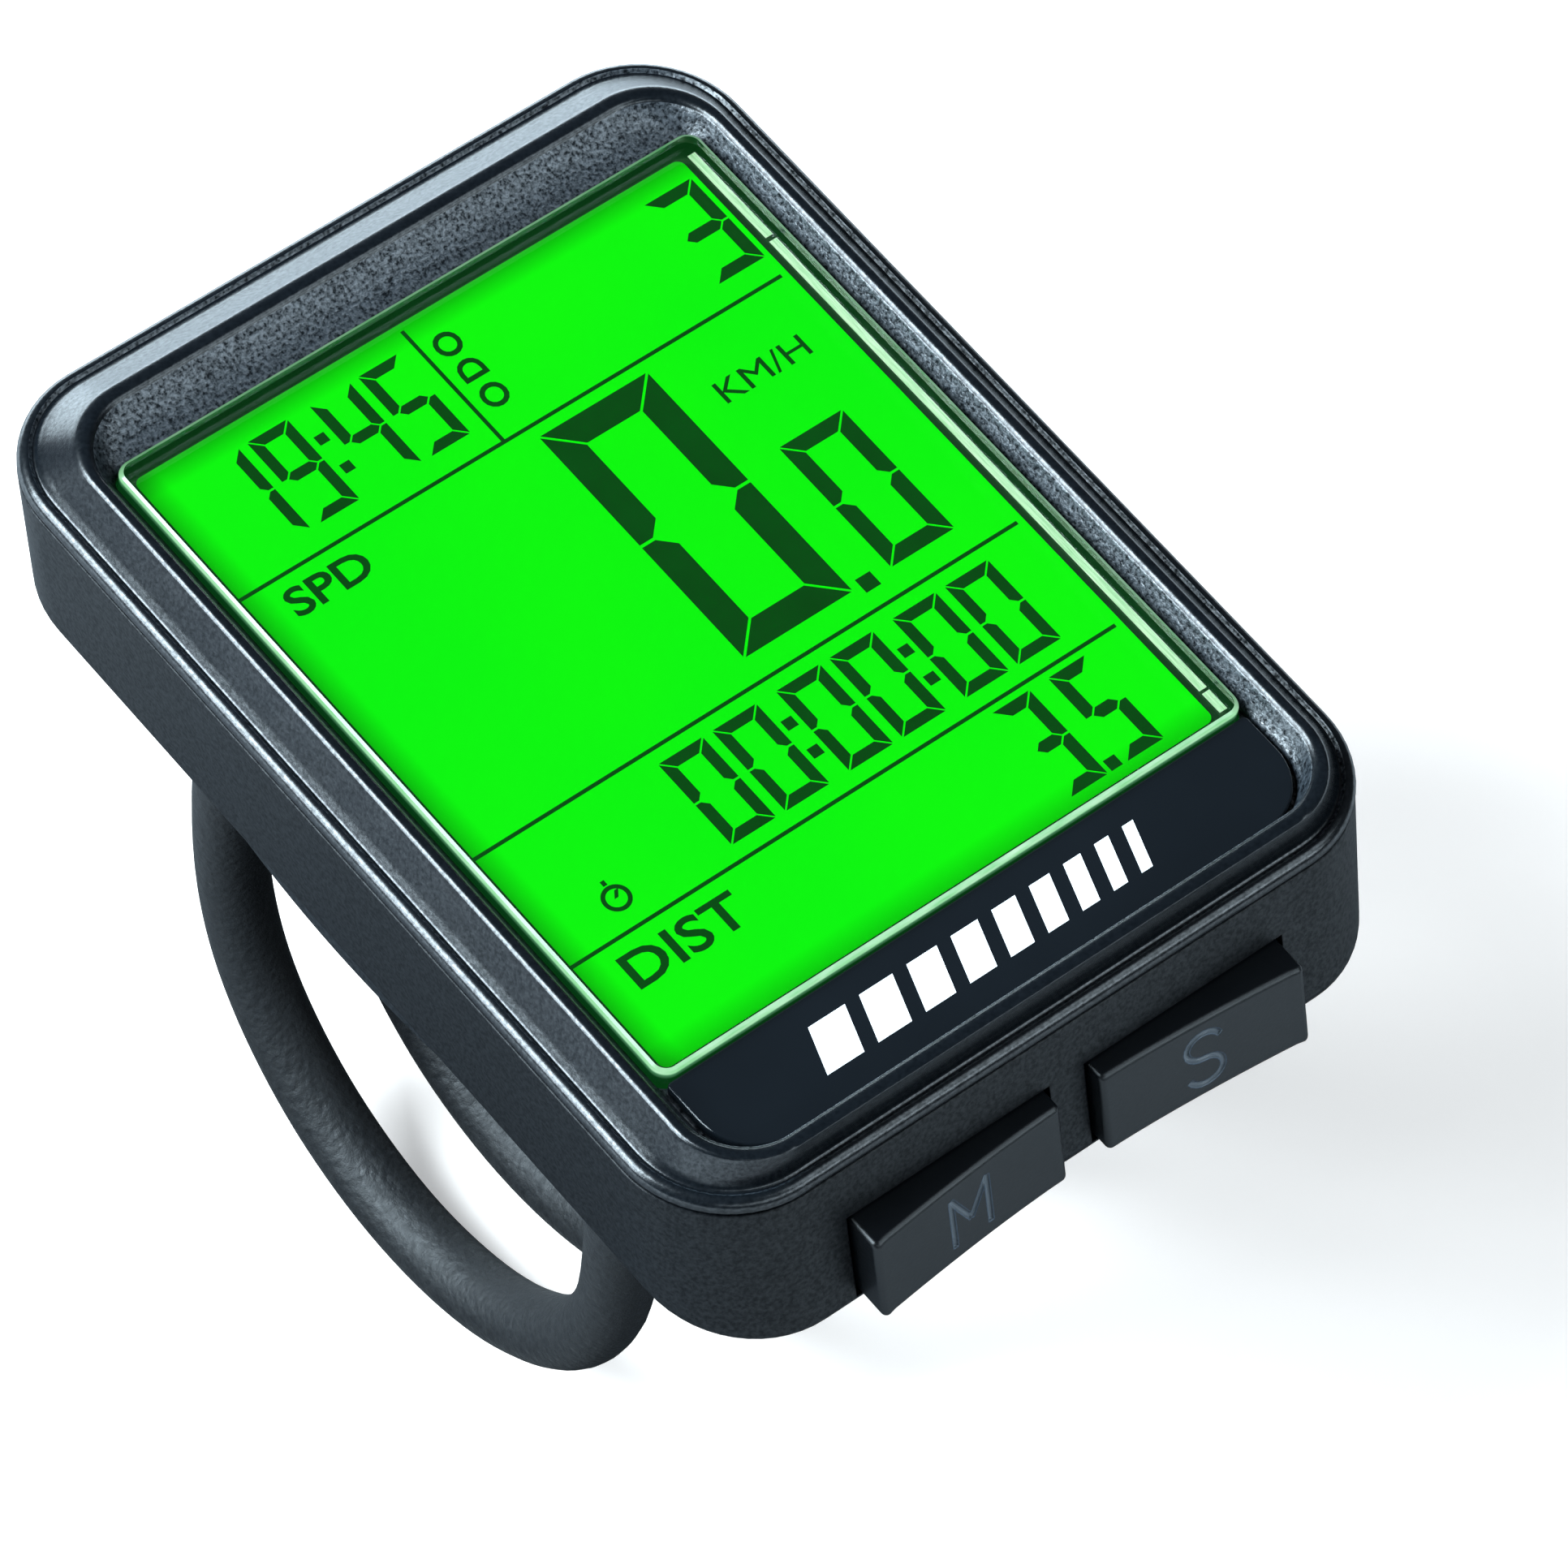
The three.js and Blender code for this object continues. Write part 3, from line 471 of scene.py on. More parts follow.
def moulded(
    name, colour, roughness, grain, depth,
    spread=0.03, specular=0.35, edge=0.12, grain_shading=1.0, wear_and_highlight=1.9,
):
    """Moulded plastic: fine grain, slightly uneven gloss, and softened edges lightened partly by wear and
    partly by a painted highlight.

    Above 1, the grain-shading factor paints light on the grain's tips and shade in its pits, making them
    that much lighter and darker.
    The sharp edges are lighter than the rest by the factor for wear and painted highlight.
    """
    shader = Shader(name)
    rounded = shader.rounded_edges(edge)
    tone = shader.spread(shader.noise(0.12, 3.0), 0.0, 1.0)
    plain = shader.blend(tone, scaled(colour, 0.9), scaled(colour, 1.1))
    # Sharp edges lightened, partly by wear and partly by a painted highlight.
    base = shader.blend(shader.edges(rounded), plain, scaled(colour, wear_and_highlight, 0.004))
    texture = shader.noise(grain, 3.0, 0.6)
    shine = specular
    # Painted light and shade on the grain: lighter tips, darker pits.
    if grain_shading > 1.0:
        grey = shader.spread(texture, 0.0, 1.0, 0.35, 0.7)
        tips = shader.blend(grey, (1 / grain_shading,) * 3, (grain_shading,) * 3)
        base = shader.blend(1.0, base, tips, "MULTIPLY")
        swing = min(0.9, 0.3 * grain_shading)
        shine = shader.spread(texture, specular * (1 - swing), specular * (1 + swing), 0.35, 0.65)
    gloss = shader.spread(shader.noise(0.35, 4.0, 0.6), roughness - spread, roughness + spread)
    normal = shader.bump(texture, depth, rounded)
    shader.set(Base_Color=base, Roughness=gloss, Normal=normal, Specular_IOR_Level=shine)
    return shader.material


def rubbery(name, colour, roughness, grain, depth, dust=0.3):
    """Rubber: coarse pitted grain, dusty low spots and a faint sheen."""
    shader = Shader(name)
    pits = shader.cells(grain)
    lumps = shader.noise(grain * 0.6, 4.0, 0.7)
    high = shader.spread(shader.noise(grain * 1.7, 2.0), 0.0, 1.0)
    base = shader.blend(high, scaled(colour, 0.7), scaled(colour, 1.5))
    normal = shader.bump(pits, depth, shader.bump(lumps, depth * 1.5))
    gloss = shader.spread(lumps, roughness - 0.12, roughness + 0.1)
    shader.set(Base_Color=base, Roughness=gloss, Normal=normal, Specular_IOR_Level=0.4)
    shader.set(Sheen_Weight=dust * 0.3, Sheen_Roughness=0.5)
    return shader.material


def metal(name, colour, roughness, stretch=(1, 1, 1), scale=4.0):
    """Metal with fine rolling marks along one direction and uneven polish."""
    shader = Shader(name)
    marks = shader.noise(scale, 4.0, 0.6, stretch)
    gloss = shader.spread(marks, roughness * 0.7, roughness * 1.4)
    tone = shader.blend(shader.noise(0.5, 3.0), scaled(colour, 0.85), colour)
    normal = shader.bump(marks, 0.004, shader.rounded_edges(0.05))
    shader.set(Base_Color=tone, Roughness=gloss, Metallic=1.0, Normal=normal)
    return shader.material


# -------- materials

BLACK = srgb(9, 13, 17)
DEEP_BLACK = srgb(4, 6, 9)

# Grain-shading factors above 1 paint light on the grain's tips and shade in its pits.
case_plastic = moulded("case_plastic", DEEP_BLACK, 0.4, 4.0, 0.01, specular=0.2, grain_shading=1.3)
bracket_plastic = moulded("bracket_plastic", BLACK, 0.45, 3.0, 0.016, specular=0.25, grain_shading=1.3)
bezel_satin = moulded("bezel_satin", BLACK, 0.25, 4.5, 0.006, 0.012, 0.42, edge=0.06, grain_shading=1.25)
bezel_blasted = moulded("bezel_blasted", srgb(22, 27, 32), 0.38, 4.6, 0.04, 0.02, 0.9, grain_shading=3.0)
gloss_black = moulded("gloss_black", srgb(15, 19, 23), 0.08, 1.5, 0.0005, 0.01, 0.5, 0.1)
# Painted highlight: the large edge factor makes the keys' sharp edges light.
key_rubber = moulded("key_rubber", DEEP_BLACK, 0.34, 4.0, 0.008, specular=0.32, wear_and_highlight=110.0)
# Painted highlight: the letters' cut faces are lighter than the key.
key_letter_highlight = moulded("key_letter_highlight", srgb(92, 99, 106), 0.3, 4.0, 0.004)
strap_rubber = rubbery("strap_rubber", srgb(7, 9, 12), 0.62, 2.6, 0.05, dust=0.1)
pad_rubber = rubbery("pad_rubber", srgb(22, 23, 24), 0.75, 3.0, 0.03)
seal_rubber = rubbery("seal_rubber", srgb(26, 26, 27), 0.6, 4.0, 0.01)
bright_steel = metal("bright_steel", srgb(190, 192, 196), 0.28, (1, 8, 1))


def display_glow():
    """Backlit panel: even green, with painted shade that dims it softly towards the left, near and far
    edges.
    """
    shader = Shader("display_glow")
    cloud = shader.noise(0.06, 2.0)
    green = shader.blend(shader.spread(cloud, 0.0, 1.0), srgb(0, 250, 8), srgb(6, 255, 2))
    across, along, _ = shader.axes()
    # Painted shade: width of the soft darkening along the left, near and far edges.
    fade = 1.5
    edges = [
        shader.spread(across, 0.45, 1.0, LIT["left"], LIT["left"] + fade),
        shader.spread(along, 0.6, 1.0, LIT["front"], LIT["front"] + fade),
        shader.spread(along, 1.0, 0.45, LIT["back"] - fade, LIT["back"]),
    ]
    strength = shader.product(shader.product(edges[0], edges[1]), edges[2])
    return shader.lit(green, (0.0, 0.02, 0.0), specular=0.0, strength=strength)


def segment_ink():
    """Switched-on liquid crystal: dark green with a trace of the backlight."""
    shader = Shader("segment_ink")
    shade = shader.blend(shader.noise(0.3, 3.0), srgb(0, 66, 10), srgb(0, 84, 18))
    return shader.lit(shade, (0.0, 0.0, 0.0), 0.6, 0.0)


def border_ink():
    """Margin of the panel: near black with a faint green cast from the light behind it."""
    shader = Shader("border_ink")
    shade = shader.blend(shader.noise(0.2, 3.0), srgb(0, 40, 8), srgb(0, 58, 14))
    return shader.lit(shade, (0.0, 0.004, 0.001))


def painted_lens_rim():
    """Cut edge of the lens, glowing with painted light for the backlight seen in it: dark green painted
    shade low down, a pale painted highlight at the top.
    """
    shader = Shader("painted_lens_rim")
    _, _, height = shader.axes()
    low, high = FASCIA_HIGH.z - 0.1, LENS_HIGH.z
    # Painted shade low down on the edge, rising towards lighter green higher up.
    rise = shader.spread(height, 0.0, 1.0, low, high - 0.1)
    lower = shader.blend(rise, srgb(6, 52, 16), srgb(92, 160, 112))
    streaks = shader.noise(0.5, 3.0, 0.6, (1, 1, 6))
    pale = shader.blend(shader.spread(streaks, 0.0, 1.0), srgb(130, 214, 142), srgb(186, 238, 196))
    # Pale painted highlight along the top of the edge.
    top = shader.spread(height, 0.0, 1.0, high - 0.3, high - 0.2)
    # Painted light: the sides that face the front left glow brighter.
    near_side = shader.dot(shader.normal(), (-0.7, -0.7, 0.14))
    lit = shader.spread(near_side, 0.12, 1.0, -0.5, 0.5)
    return shader.lit(shader.blend(top, lower, pale), (0.0, 0.01, 0.004), 0.2, 0.5, lit)


def painted_edge_lines():
    """Painted light at the panel's right: glowing pale green with lengthwise streaks, standing for the
    lens's refraction lines.
    """
    shader = Shader("painted_edge_lines")
    streaks = shader.noise(2.0, 4.0, 0.7, (6, 0.25, 1))
    shade = shader.blend(shader.spread(streaks, 0.0, 1.0), srgb(120, 196, 126), srgb(226, 250, 226))
    return shader.lit(shade, (0.1, 0.2, 0.1))


def clear_acrylic():
    """Clear lens: true refraction with a trace of wiping marks in the gloss."""
    shader = Shader("clear_acrylic")
    marks = shader.noise(0.8, 5.0, 0.7, (1, 6, 1))
    shader.set(Base_Color=(0.97, 1.0, 0.97), IOR=1.49, Transmission_Weight=1.0)
    shader.set(Roughness=shader.spread(marks, 0.0, 0.02))
    return shader.material


def white_print():
    shader = Shader("white_print")
    tone = shader.blend(shader.noise(2.0, 3.0), srgb(222, 224, 226), srgb(250, 251, 252))
    shader.set(Base_Color=tone, Roughness=shader.spread(shader.noise(1.0), 0.35, 0.5))
    return shader.material


def pale_floor():
    """Pale floor that mirrors dark beside the object and bright further out, like a dark table
    in front of a white backdrop, so that black gloss keeps its depth."""
    shader = Shader("pale_floor")
    tone = shader.blend(shader.noise(0.004, 3.0), srgb(242, 228, 220), srgb(248, 234, 226))
    away = shader.node("ShaderNodeVectorMath", operation="LENGTH", Vector=shader.space)
    outwards = shader.spread(away.outputs["Value"], 0.0, 1.0, 40, 170)
    dark = srgb(24, 28, 33)
    mirrored = shader.blend(outwards, dark, srgb(240, 242, 245))
    path = shader.node("ShaderNodeLightPath")
    seen = shader.blend(path.outputs["Is Glossy Ray"], dark, mirrored)
    base = shader.blend(path.outputs["Is Camera Ray"], seen, tone)
    lift = shader.spread(path.outputs["Is Camera Ray"], 0.0, 0.35, 0.0, 1.0)
    return shader.lit(srgb(244, 246, 248), base, 0.85, 0.1, lift)


ink = segment_ink()


# -------- head unit: bezel

def z_case(height):
    """Height above the head unit's underside, in the part's frame."""
    return Z_UNDERSIDE + height


def bezel():
    """Shoulder, groove, rising band, crest, dish and the seat of the lens, as one closed ring."""
    low = Z_SEAM + SEAM_GAP
    shoulder = Z_SEAM + 1.0
    rings = [case_ring(low, 0.14), case_ring(low + 0.05, 0.03), case_ring(low + 0.14, 0)]
    rings += [case_ring(shoulder - drop, inset) for drop, inset in reversed(quarter_round(0.6, 8))]
    crest = crest_ring(Z_CREST, 0)
    groove = ((0.62, 0.01), (0.7, 0.1), (0.78, 0.18), (0.88, 0.18), (0.96, 0.1), (1.02, 0.0))
    rings += [case_ring(shoulder - depth, inset) for inset, depth in groove]
    ledge = case_ring(shoulder, 1.06)
    round_share = 0.3  # outer part of the band's width that bends over into the crest
    round_height = 0.57
    bend = math.radians(45)
    band_end = 1 - round_share * math.cos(bend)
    band_top = Z_CREST - round_height * (1 - math.sin(bend))
    steps = 9
    for i in range(steps):
        share = (i + 1) / steps
        height = shoulder + (band_top - shoulder) * (0.94 * share + 0.06 * share ** 2)
        rings.append(mix_rings(ledge, crest, band_end * share, height))
    for angle in arc_steps(52, 90, 6):
        share = 1 - round_share * math.cos(angle)
        rings.append(mix_rings(ledge, crest, share, Z_CREST - round_height * (1 - math.sin(angle))))
    flat = 0.1
    inner_radius = 0.42
    for angle in arc_steps(8, 64, 6):
        inset = flat + inner_radius * math.sin(angle)
        rings.append(crest_ring(Z_CREST - inner_radius * (1 - math.cos(angle)), inset))
    rim_z = Z_CREST - 0.24
    rim = crest_ring(rim_z, CREST_WIDTH)
    gap = 0.12
    dish = outline(LENS_HALF_X + gap, FASCIA_FRONT - gap, LENS_BACK + gap, 1.0, FASCIA_RADIUS + gap)
    dish_z = FASCIA_HIGH.z - 0.35
    for i in range(7):
        share = i / 6
        sag = 0.12 * math.sin(math.pi * share)
        rings.append(mix_rings(rim, at_z(dish, 0), share * 0.97, rim_z + (dish_z - rim_z) * share - sag))
    bed = FASCIA_LOW.z - 0.05
    window = outline(LENS_HALF_X + gap, LENS_FRONT - gap, LENS_BACK + gap, 1.0)
    pocket = outline(LENS_HIGH.x + 0.2, LENS_LOW.y - 0.2, LENS_HIGH.y + 0.2, 1.2)
    flange_top = LENS_LOW.z + LENS_FLANGE + 0.1
    rings += [
        at_z(dish, dish_z - 0.1),
        at_z(dish, bed),
        at_z(window, bed - 0.02),
        at_z(window, flange_top),
        at_z(pocket, flange_top - 0.01),
        at_z(pocket, LENS_LOW.z + 0.1),
        case_ring(LENS_LOW.z + 0.09, WALL),
        case_ring(low, WALL),
    ]
    return rings


def add_bezel():
    """The bezel, satin outside and blasted on the slope that faces the lens."""
    obj = new_object("bezel_shell", loft_bmesh(bezel(), closed=True), angle=50)
    place(obj, "head", "front_bezel", "bezel_plastic", bezel_satin, bezel_blasted)
    for polygon in obj.data.polygons:
        centre = polygon.center / MM
        faces_inward = polygon.normal.xy.dot(centre.xy) < 0
        if faces_inward and LENS_LOW.z < centre.z < Z_CREST - DISH_START:
            polygon.material_index = 1


# -------- head unit: rear shell

RAIL_X = 17.0
BEYOND = 40.0  # well outside the case, for cuts that run out of it


def add_rear_shell():
    """Lower shell with its battery well, key openings, screw holes, rail slots and click recess."""
    fillet = 0.6
    outside = [case_ring(z_case(rise), inset) for rise, inset in quarter_round(0.9, 8)]
    seam_edge = ((-0.12, 0), (-0.04, 0.03), (0, 0.12))  # height above the seam, inset
    outside += [case_ring(Z_SEAM + height, inset) for height, inset in seam_edge]
    inside = [
        case_ring(z_case(FLOOR), WALL + fillet),
        case_ring(z_case(FLOOR + fillet), WALL),
        case_ring(Z_SEAM + 1, WALL),
    ]
    shell = new_object("rear_shell", loft_bmesh(outside))
    boolean(shell, [loft_bmesh(inside)])
    below = z_case(-1)
    well = (0, WELL_Y)
    well_wall = cylinder_bmesh(13.4, z_case(FLOOR - 0.2), z_case(5.75), well, segments=96)
    boolean(shell, [well_wall], "UNION")
    cell_space = cylinder_bmesh(10.2, z_case(0.5), z_case(5.2), well, segments=96)
    cover_space = cylinder_bmesh(11.5, below, z_case(1.85), well, segments=96)
    click_recess = box_bmesh((-2.6, -14.2, below), (2.6, -9.8, z_case(0.8)))
    cuts = [cell_space, cover_space]
    flange, gap, wall_back = 0.8, 0.2, -27.1
    for low, high in (box_mm("key_m"), box_mm("key_s")):
        front = (low.x + flange - gap, -BEYOND, z_case(KEY_BASE) - gap)
        back = (high.x - flange + gap, wall_back, z_case(KEY_TOP) + gap)
        cuts.append(box_bmesh(front, back))
    screw_head, sunk = 2.1, 1.4
    for i in range(1, 5):
        low, high = box_mm(f"case_screw_{i}")
        middle = (low + high) / 2
        cuts.append(cylinder_bmesh(screw_head, below, z_case(sunk), (middle.x, middle.y), segments=48))
    neck, wide, start = 0.9, 1.75, -10.9
    for x in (-RAIL_X, RAIL_X):
        cuts.append(box_bmesh((x - neck, start, below), (x + neck, BEYOND, z_case(1.1))))
        cuts.append(box_bmesh((x - wide, start, z_case(0.85)), (x + wide, BEYOND, z_case(1.95))))
    boolean(shell, cuts + [click_recess])
    place(shell, "head", "rear_case", "case_plastic", case_plastic)


# -------- head unit: lens and fascia

def add_lens():
    """Clear plate whose raised edge glows with painted light and shade: a wall, a rounded chamfer and the
    face.
    """
    chamfer = 0.25
    top = LENS_HIGH.z
    base = LENS_LOW.z
    corner = 0.95
    step = base + LENS_FLANGE
    rings = [at_z(outline(LENS_HIGH.x, LENS_LOW.y, LENS_HIGH.y, 1.0), z) for z in (base, step)]
    for z, inset in ((step, 0), (top - chamfer, 0), (top - chamfer * 0.3, 0.09), (top, chamfer)):
        points = outline(LENS_HALF_X - inset, LENS_FRONT + inset, LENS_BACK - inset, corner - inset)
        rings.append(at_z(points, z))
    obj = new_object("lens_plate", loft_bmesh(rings), angle=20)
    place(obj, "head", "lens", "clear_lens", clear_acrylic(), painted_lens_rim())
    # The edge's wall and chamfer take the painted light and shade.
    for polygon in obj.data.polygons:
        if step + 0.1 < polygon.center.z / MM < top - 0.001:
            polygon.material_index = 1


def add_fascia():
    top = FASCIA_HIGH.z
    base = FASCIA_LOW.z
    edge = 0.12
    back = LENS_FRONT - 0.1
    rings = []
    levels = (
        (base, 0, 0.3, FASCIA_RADIUS),
        (top - edge, 0, 0.3, FASCIA_RADIUS),
        (top - edge / 3, edge / 3, 0.26, FASCIA_RADIUS),
        (top, edge, 0.2, FASCIA_RADIUS - edge),
    )
    for z, inset, radius, front_radius in levels:
        points = outline(FASCIA_HIGH.x - inset, FASCIA_FRONT + inset, back - inset, radius, front_radius)
        rings.append(at_z(points, z))
    obj = new_object("fascia_plate", loft_bmesh(rings))
    place(obj, "head", "fascia_panel", "gloss_fascia", gloss_black)
    add_fascia_stripes(top)


def add_fascia_stripes(z):
    """Plain slanted stripes printed on the fascia, narrower from left to right."""
    bm = bmesh.new()
    height, space = 2.7, 0.9
    lean = 0.35 * height
    front = (FASCIA_FRONT + LENS_FRONT - height) / 2
    back = front + height
    x = -11.8
    for i in range(9):
        width = 2.3 - 0.2 * i
        corners = [(x, front), (x + width, front), (x + width + lean, back), (x + lean, back)]
        add_prism(bm, corners, z - 0.01, z + 0.03)
        x += width + space
    obj = new_object("fascia_stripes", bm)
    place(obj, "head", None, "gloss_fascia", white_print())


def box_corners(left, front, right, back):
    return [(left, front), (right, front), (right, back), (left, back)]


# -------- head unit: display

SEGMENTS = {
    "0": "abcdef", "1": "bc", "2": "abged", "3": "abgcd", "4": "fgbc",
    "5": "afgcd", "6": "afgedc", "7": "abc", "8": "abcdefg", "9": "abcdfg",
}
INK_LOW = LCD_HIGH.z
INK_HIGH = LCD_HIGH.z + 0.02
LINE_HALF = 0.11  # half the width of the lines that divide the display
LINE_HEIGHTS = (13.55, -5.6, -13.4)
CLOCK_LINE_X = -0.85


def segment_outline(name, width, height, stroke, gap):
    """One mitred bar of a seven-bar figure, in the figure's own corner frame."""
    w, h, t, g = width, height, stroke, gap
    m = h / 2
    shapes = {
        "a": [(g, h), (t + g, h - t), (w - t - g, h - t), (w - g, h)],
        "d": [(g, 0), (w - g, 0), (w - t - g, t), (t + g, t)],
        "f": [(0, h - g), (0, m + g), (t * 0.5, m + g), (t, m + t * 0.5 + g), (t, h - t - g)],
        "b": [(w, h - g), (w - t, h - t - g), (w - t, m + t * 0.5 + g), (w - t * 0.5, m + g), (w, m + g)],
        "e": [(0, g), (t, t + g), (t, m - t * 0.5 - g), (t * 0.5, m - g), (0, m - g)],
        "c": [(w, g), (w, m - g), (w - t * 0.5, m - g), (w - t, m - t * 0.5 - g), (w - t, t + g)],
        "g": [
            (t * 0.5 + g, m), (t + g, m - t * 0.5), (w - t - g, m - t * 0.5),
            (w - t * 0.5 - g, m), (w - t - g, m + t * 0.5), (t + g, m + t * 0.5),
        ],
    }
    return shapes[name]


def add_figure(bm, figure, x, y, width, height, stroke, gap):
    for name in SEGMENTS[figure]:
        corners = [(x + px, y + py) for px, py in segment_outline(name, width, height, stroke, gap)]
        add_prism(bm, corners, INK_LOW, INK_HIGH)


def add_square(bm, x, y, size):
    add_prism(bm, box_corners(x, y, x + size, y + size), INK_LOW, INK_HIGH)


def place_print(obj, material=ink):
    """Something printed on the panel, or a figure that it shows."""
    place(obj, "head", None, "display_glass", material)


def add_readout(name, text, left, right, low, high, stroke, gap=0.1, point_space=0.5):
    """Seven-bar figures spread between left and right; ':' and '.' take a narrow place."""
    height = high - low
    narrow = sum(1 for c in text if c in ":.")
    figures = len(text) - narrow
    space = stroke * 0.9
    room = right - left - narrow * (stroke + 2 * point_space) - (figures - 1) * space
    width = (room + narrow * space) / figures
    bm = bmesh.new()
    x = left
    for character in text:
        if character in ":.":
            x += point_space - space
            add_square(bm, x, low if character == "." else low + height * 0.27, stroke)
            if character == ":":
                add_square(bm, x, low + height * 0.62, stroke)
            x += stroke + point_space
        else:
            add_figure(bm, character, x, low, width, height, stroke, gap)
            x += width + space
    place_print(new_object(name, bm))


def add_label(name, text, x, y, size, stretch=1.2, turn=0, weight=0.045):
    """Small fixed lettering of the display, centred at (x, y) and made bolder by the weight."""
    curve = bpy.data.curves.new(name, "FONT")
    curve.body = text
    curve.size = size * 1.4
    curve.align_x = "CENTER"
    curve.align_y = "CENTER"
    curve.extrude = (INK_HIGH - INK_LOW) / 2
    curve.offset = weight
    curve.resolution_u = 4
    writer = add_object(name, curve)
    mesh = final_mesh(writer)
    bpy.data.objects.remove(writer)
    move = Matrix.Translation(Vector((x, y, (INK_LOW + INK_HIGH) / 2)) * MM)
    mesh.transform(move @ Matrix.Rotation(turn, 4, "Z") @ Matrix.Diagonal((stretch * MM, MM, MM, 1)))
    place_print(add_object(name, mesh))


def add_display():
    low, high = LCD_LOW, LCD_HIGH
    edge = 0.1
    panel = outline(high.x, low.y, high.y, 0.4)
    trimmed = outline(high.x - edge, low.y + edge, high.y - edge, 0.3)
    levels = ((trimmed, low.z), (panel, low.z + edge), (panel, high.z - edge), (trimmed, high.z))
    obj = new_object("display_panel", loft_bmesh([at_z(points, z) for points, z in levels]))
    place(obj, "head", "lcd_panel", "display_glass", display_glow())
    add_display_lines()
    add_readout("figures_clock", "19:45", -14.6, -1.9, 15.0, 21.1, 0.62, 0.07, 0.4)
    add_readout("figures_speed", "0", 0.75, 7.75, -4.0, 12.75, 1.7, 0.1)
    add_readout("figures_tenths", "0", 10.25, 14.4, -4.0, 5.1, 0.95, 0.08)
    add_readout("figures_time", "00:00:00", -6.75, 14.5, -12.4, -6.5, 0.66, 0.07, 0.3)
    add_readout("figures_distance", "3.5", 8.7, 14.8, -20.1, -13.9, 0.72, 0.07, 0.25)
    add_readout("figure_corner", "3", 14.2, 17.3, 15.0, 21.2, 0.72, 0.07)
    point = bmesh.new()
    add_square(point, 8.25, -4.5, 0.95)
    place_print(new_object("figures_point", point))
    add_label("label_spd", "SPD", -13.35, 11.7, 1.75)
    add_label("label_kmh", "KM/H", 12.7, 9.4, 1.45, weight=0)
    add_label("label_dist", "DIST", -12.2, -15.5, 2.1)
    for i, letter in enumerate("ODO"):
        add_label(f"label_odo_{i + 1}", letter, 0.65, 20.1 - 1.95 * i, 1.45, 1.0, math.radians(90))
    add_stopwatch(-13.3, -11.5)
    add_display_border()


def add_stopwatch(x, y):
    """A small timer sign: a ring, its knob and one hand."""
    radius, stroke, steps = 0.8, 0.24, 32
    bm = bmesh.new()
    for i in range(steps):
        a, b = 2 * math.pi * i / steps, 2 * math.pi * (i + 1) / steps
        inner = radius - stroke
        corners = [polar(r, t, (x, y)) for r, t in ((inner, a), (inner, b), (radius, b), (radius, a))]
        add_prism(bm, corners, INK_LOW, INK_HIGH)
    bmesh.ops.remove_doubles(bm, verts=bm.verts, dist=1e-4)
    half = stroke / 2
    knob = (radius + 0.08, radius + 0.4, 0)
    hand = (0, 0.42, 0.3)
    for low, high, lean in (knob, hand):
        corners = [(-half, low), (half, low), (half + lean, high), (lean - half, high)]
        add_prism(bm, [(x + u, y + v) for u, v in corners], INK_LOW, INK_HIGH)
    place_print(new_object("sign_timer", bm))


def add_display_border():
    """Dark printed margin round the lit area, and glowing strips of painted light in its right side for
    the lens's refraction lines.
    """
    outer = outline(LCD_HIGH.x - 0.12, LCD_LOW.y + 0.12, LCD_HIGH.y - 0.12, 0.3)
    inner = outline(LIT["right"], LIT["front"], LIT["back"], 0.5)
    inner = [(max(x, LIT["left"]), y) for x, y in inner]
    rings = [at_z(outer, INK_LOW), at_z(outer, INK_HIGH), at_z(inner, INK_HIGH), at_z(inner, INK_LOW)]
    place_print(new_object("display_border", loft_bmesh(rings, closed=True)), border_ink())
    # Strips of painted light along the right edge.
    bm = bmesh.new()
    near, far = LIT["right"] + 0.42, LIT["right"] + 0.9
    strips = ((-20.6, -19.2), (-19.0, 15.6), (15.9, 22.4))  # front and back end of each
    for front, back in strips:
        add_prism(bm, box_corners(near, front, far, back), INK_HIGH, INK_HIGH + 0.02)
    place_print(new_object("display_light_edge", bm), painted_edge_lines())


def add_display_lines():
    """Thin lines that divide the display into rows, and one beside the clock."""
    bm = bmesh.new()
    left, right = -17.7, 17.2
    front, back = 13.6, 22.1
    lines = [(left, y - LINE_HALF, right, y + LINE_HALF) for y in LINE_HEIGHTS]
    lines.append((CLOCK_LINE_X - LINE_HALF, front, CLOCK_LINE_X + LINE_HALF, back))
    for line in lines:
        add_prism(bm, box_corners(*line), INK_LOW, INK_HIGH)
    place_print(new_object("display_lines", bm))


# -------- tubes

def tube_bmesh(points, radius, closed, sides=16):
    """A round tube along points, with its cross-section carried on without twist."""
    count = len(points)
    points = [Vector(p) for p in points]
    tangents = []
    for i in range(count):
        before = points[i - 1] if closed or i else points[0]
        after = points[(i + 1) % count] if closed or i < count - 1 else points[-1]
        tangents.append((after - before).normalized())
    normal = tangents[0].orthogonal().normalized()
    rings = []
    for i in range(count):
        if i:
            normal = tangents[i - 1].rotation_difference(tangents[i]) @ normal
        side = tangents[i].cross(normal)
        ring = []
        for k in range(sides):
            angle = 2 * math.pi * k / sides
            offset = normal * math.cos(angle) + side * math.sin(angle)
            ring.append(points[i] + offset * radius)
        rings.append(ring)
    return loft_bmesh(rings, closed, least_twist(rings[-1], rings[0]))


def least_twist(last, first):
    """How many places to turn the first ring so that its points lie nearest to the last ring's."""
    count = len(last)

    def reach(turn):
        return sum((last[k] - first[(k + turn) % count]).length for k in range(count))
    return min(range(count), key=reach)


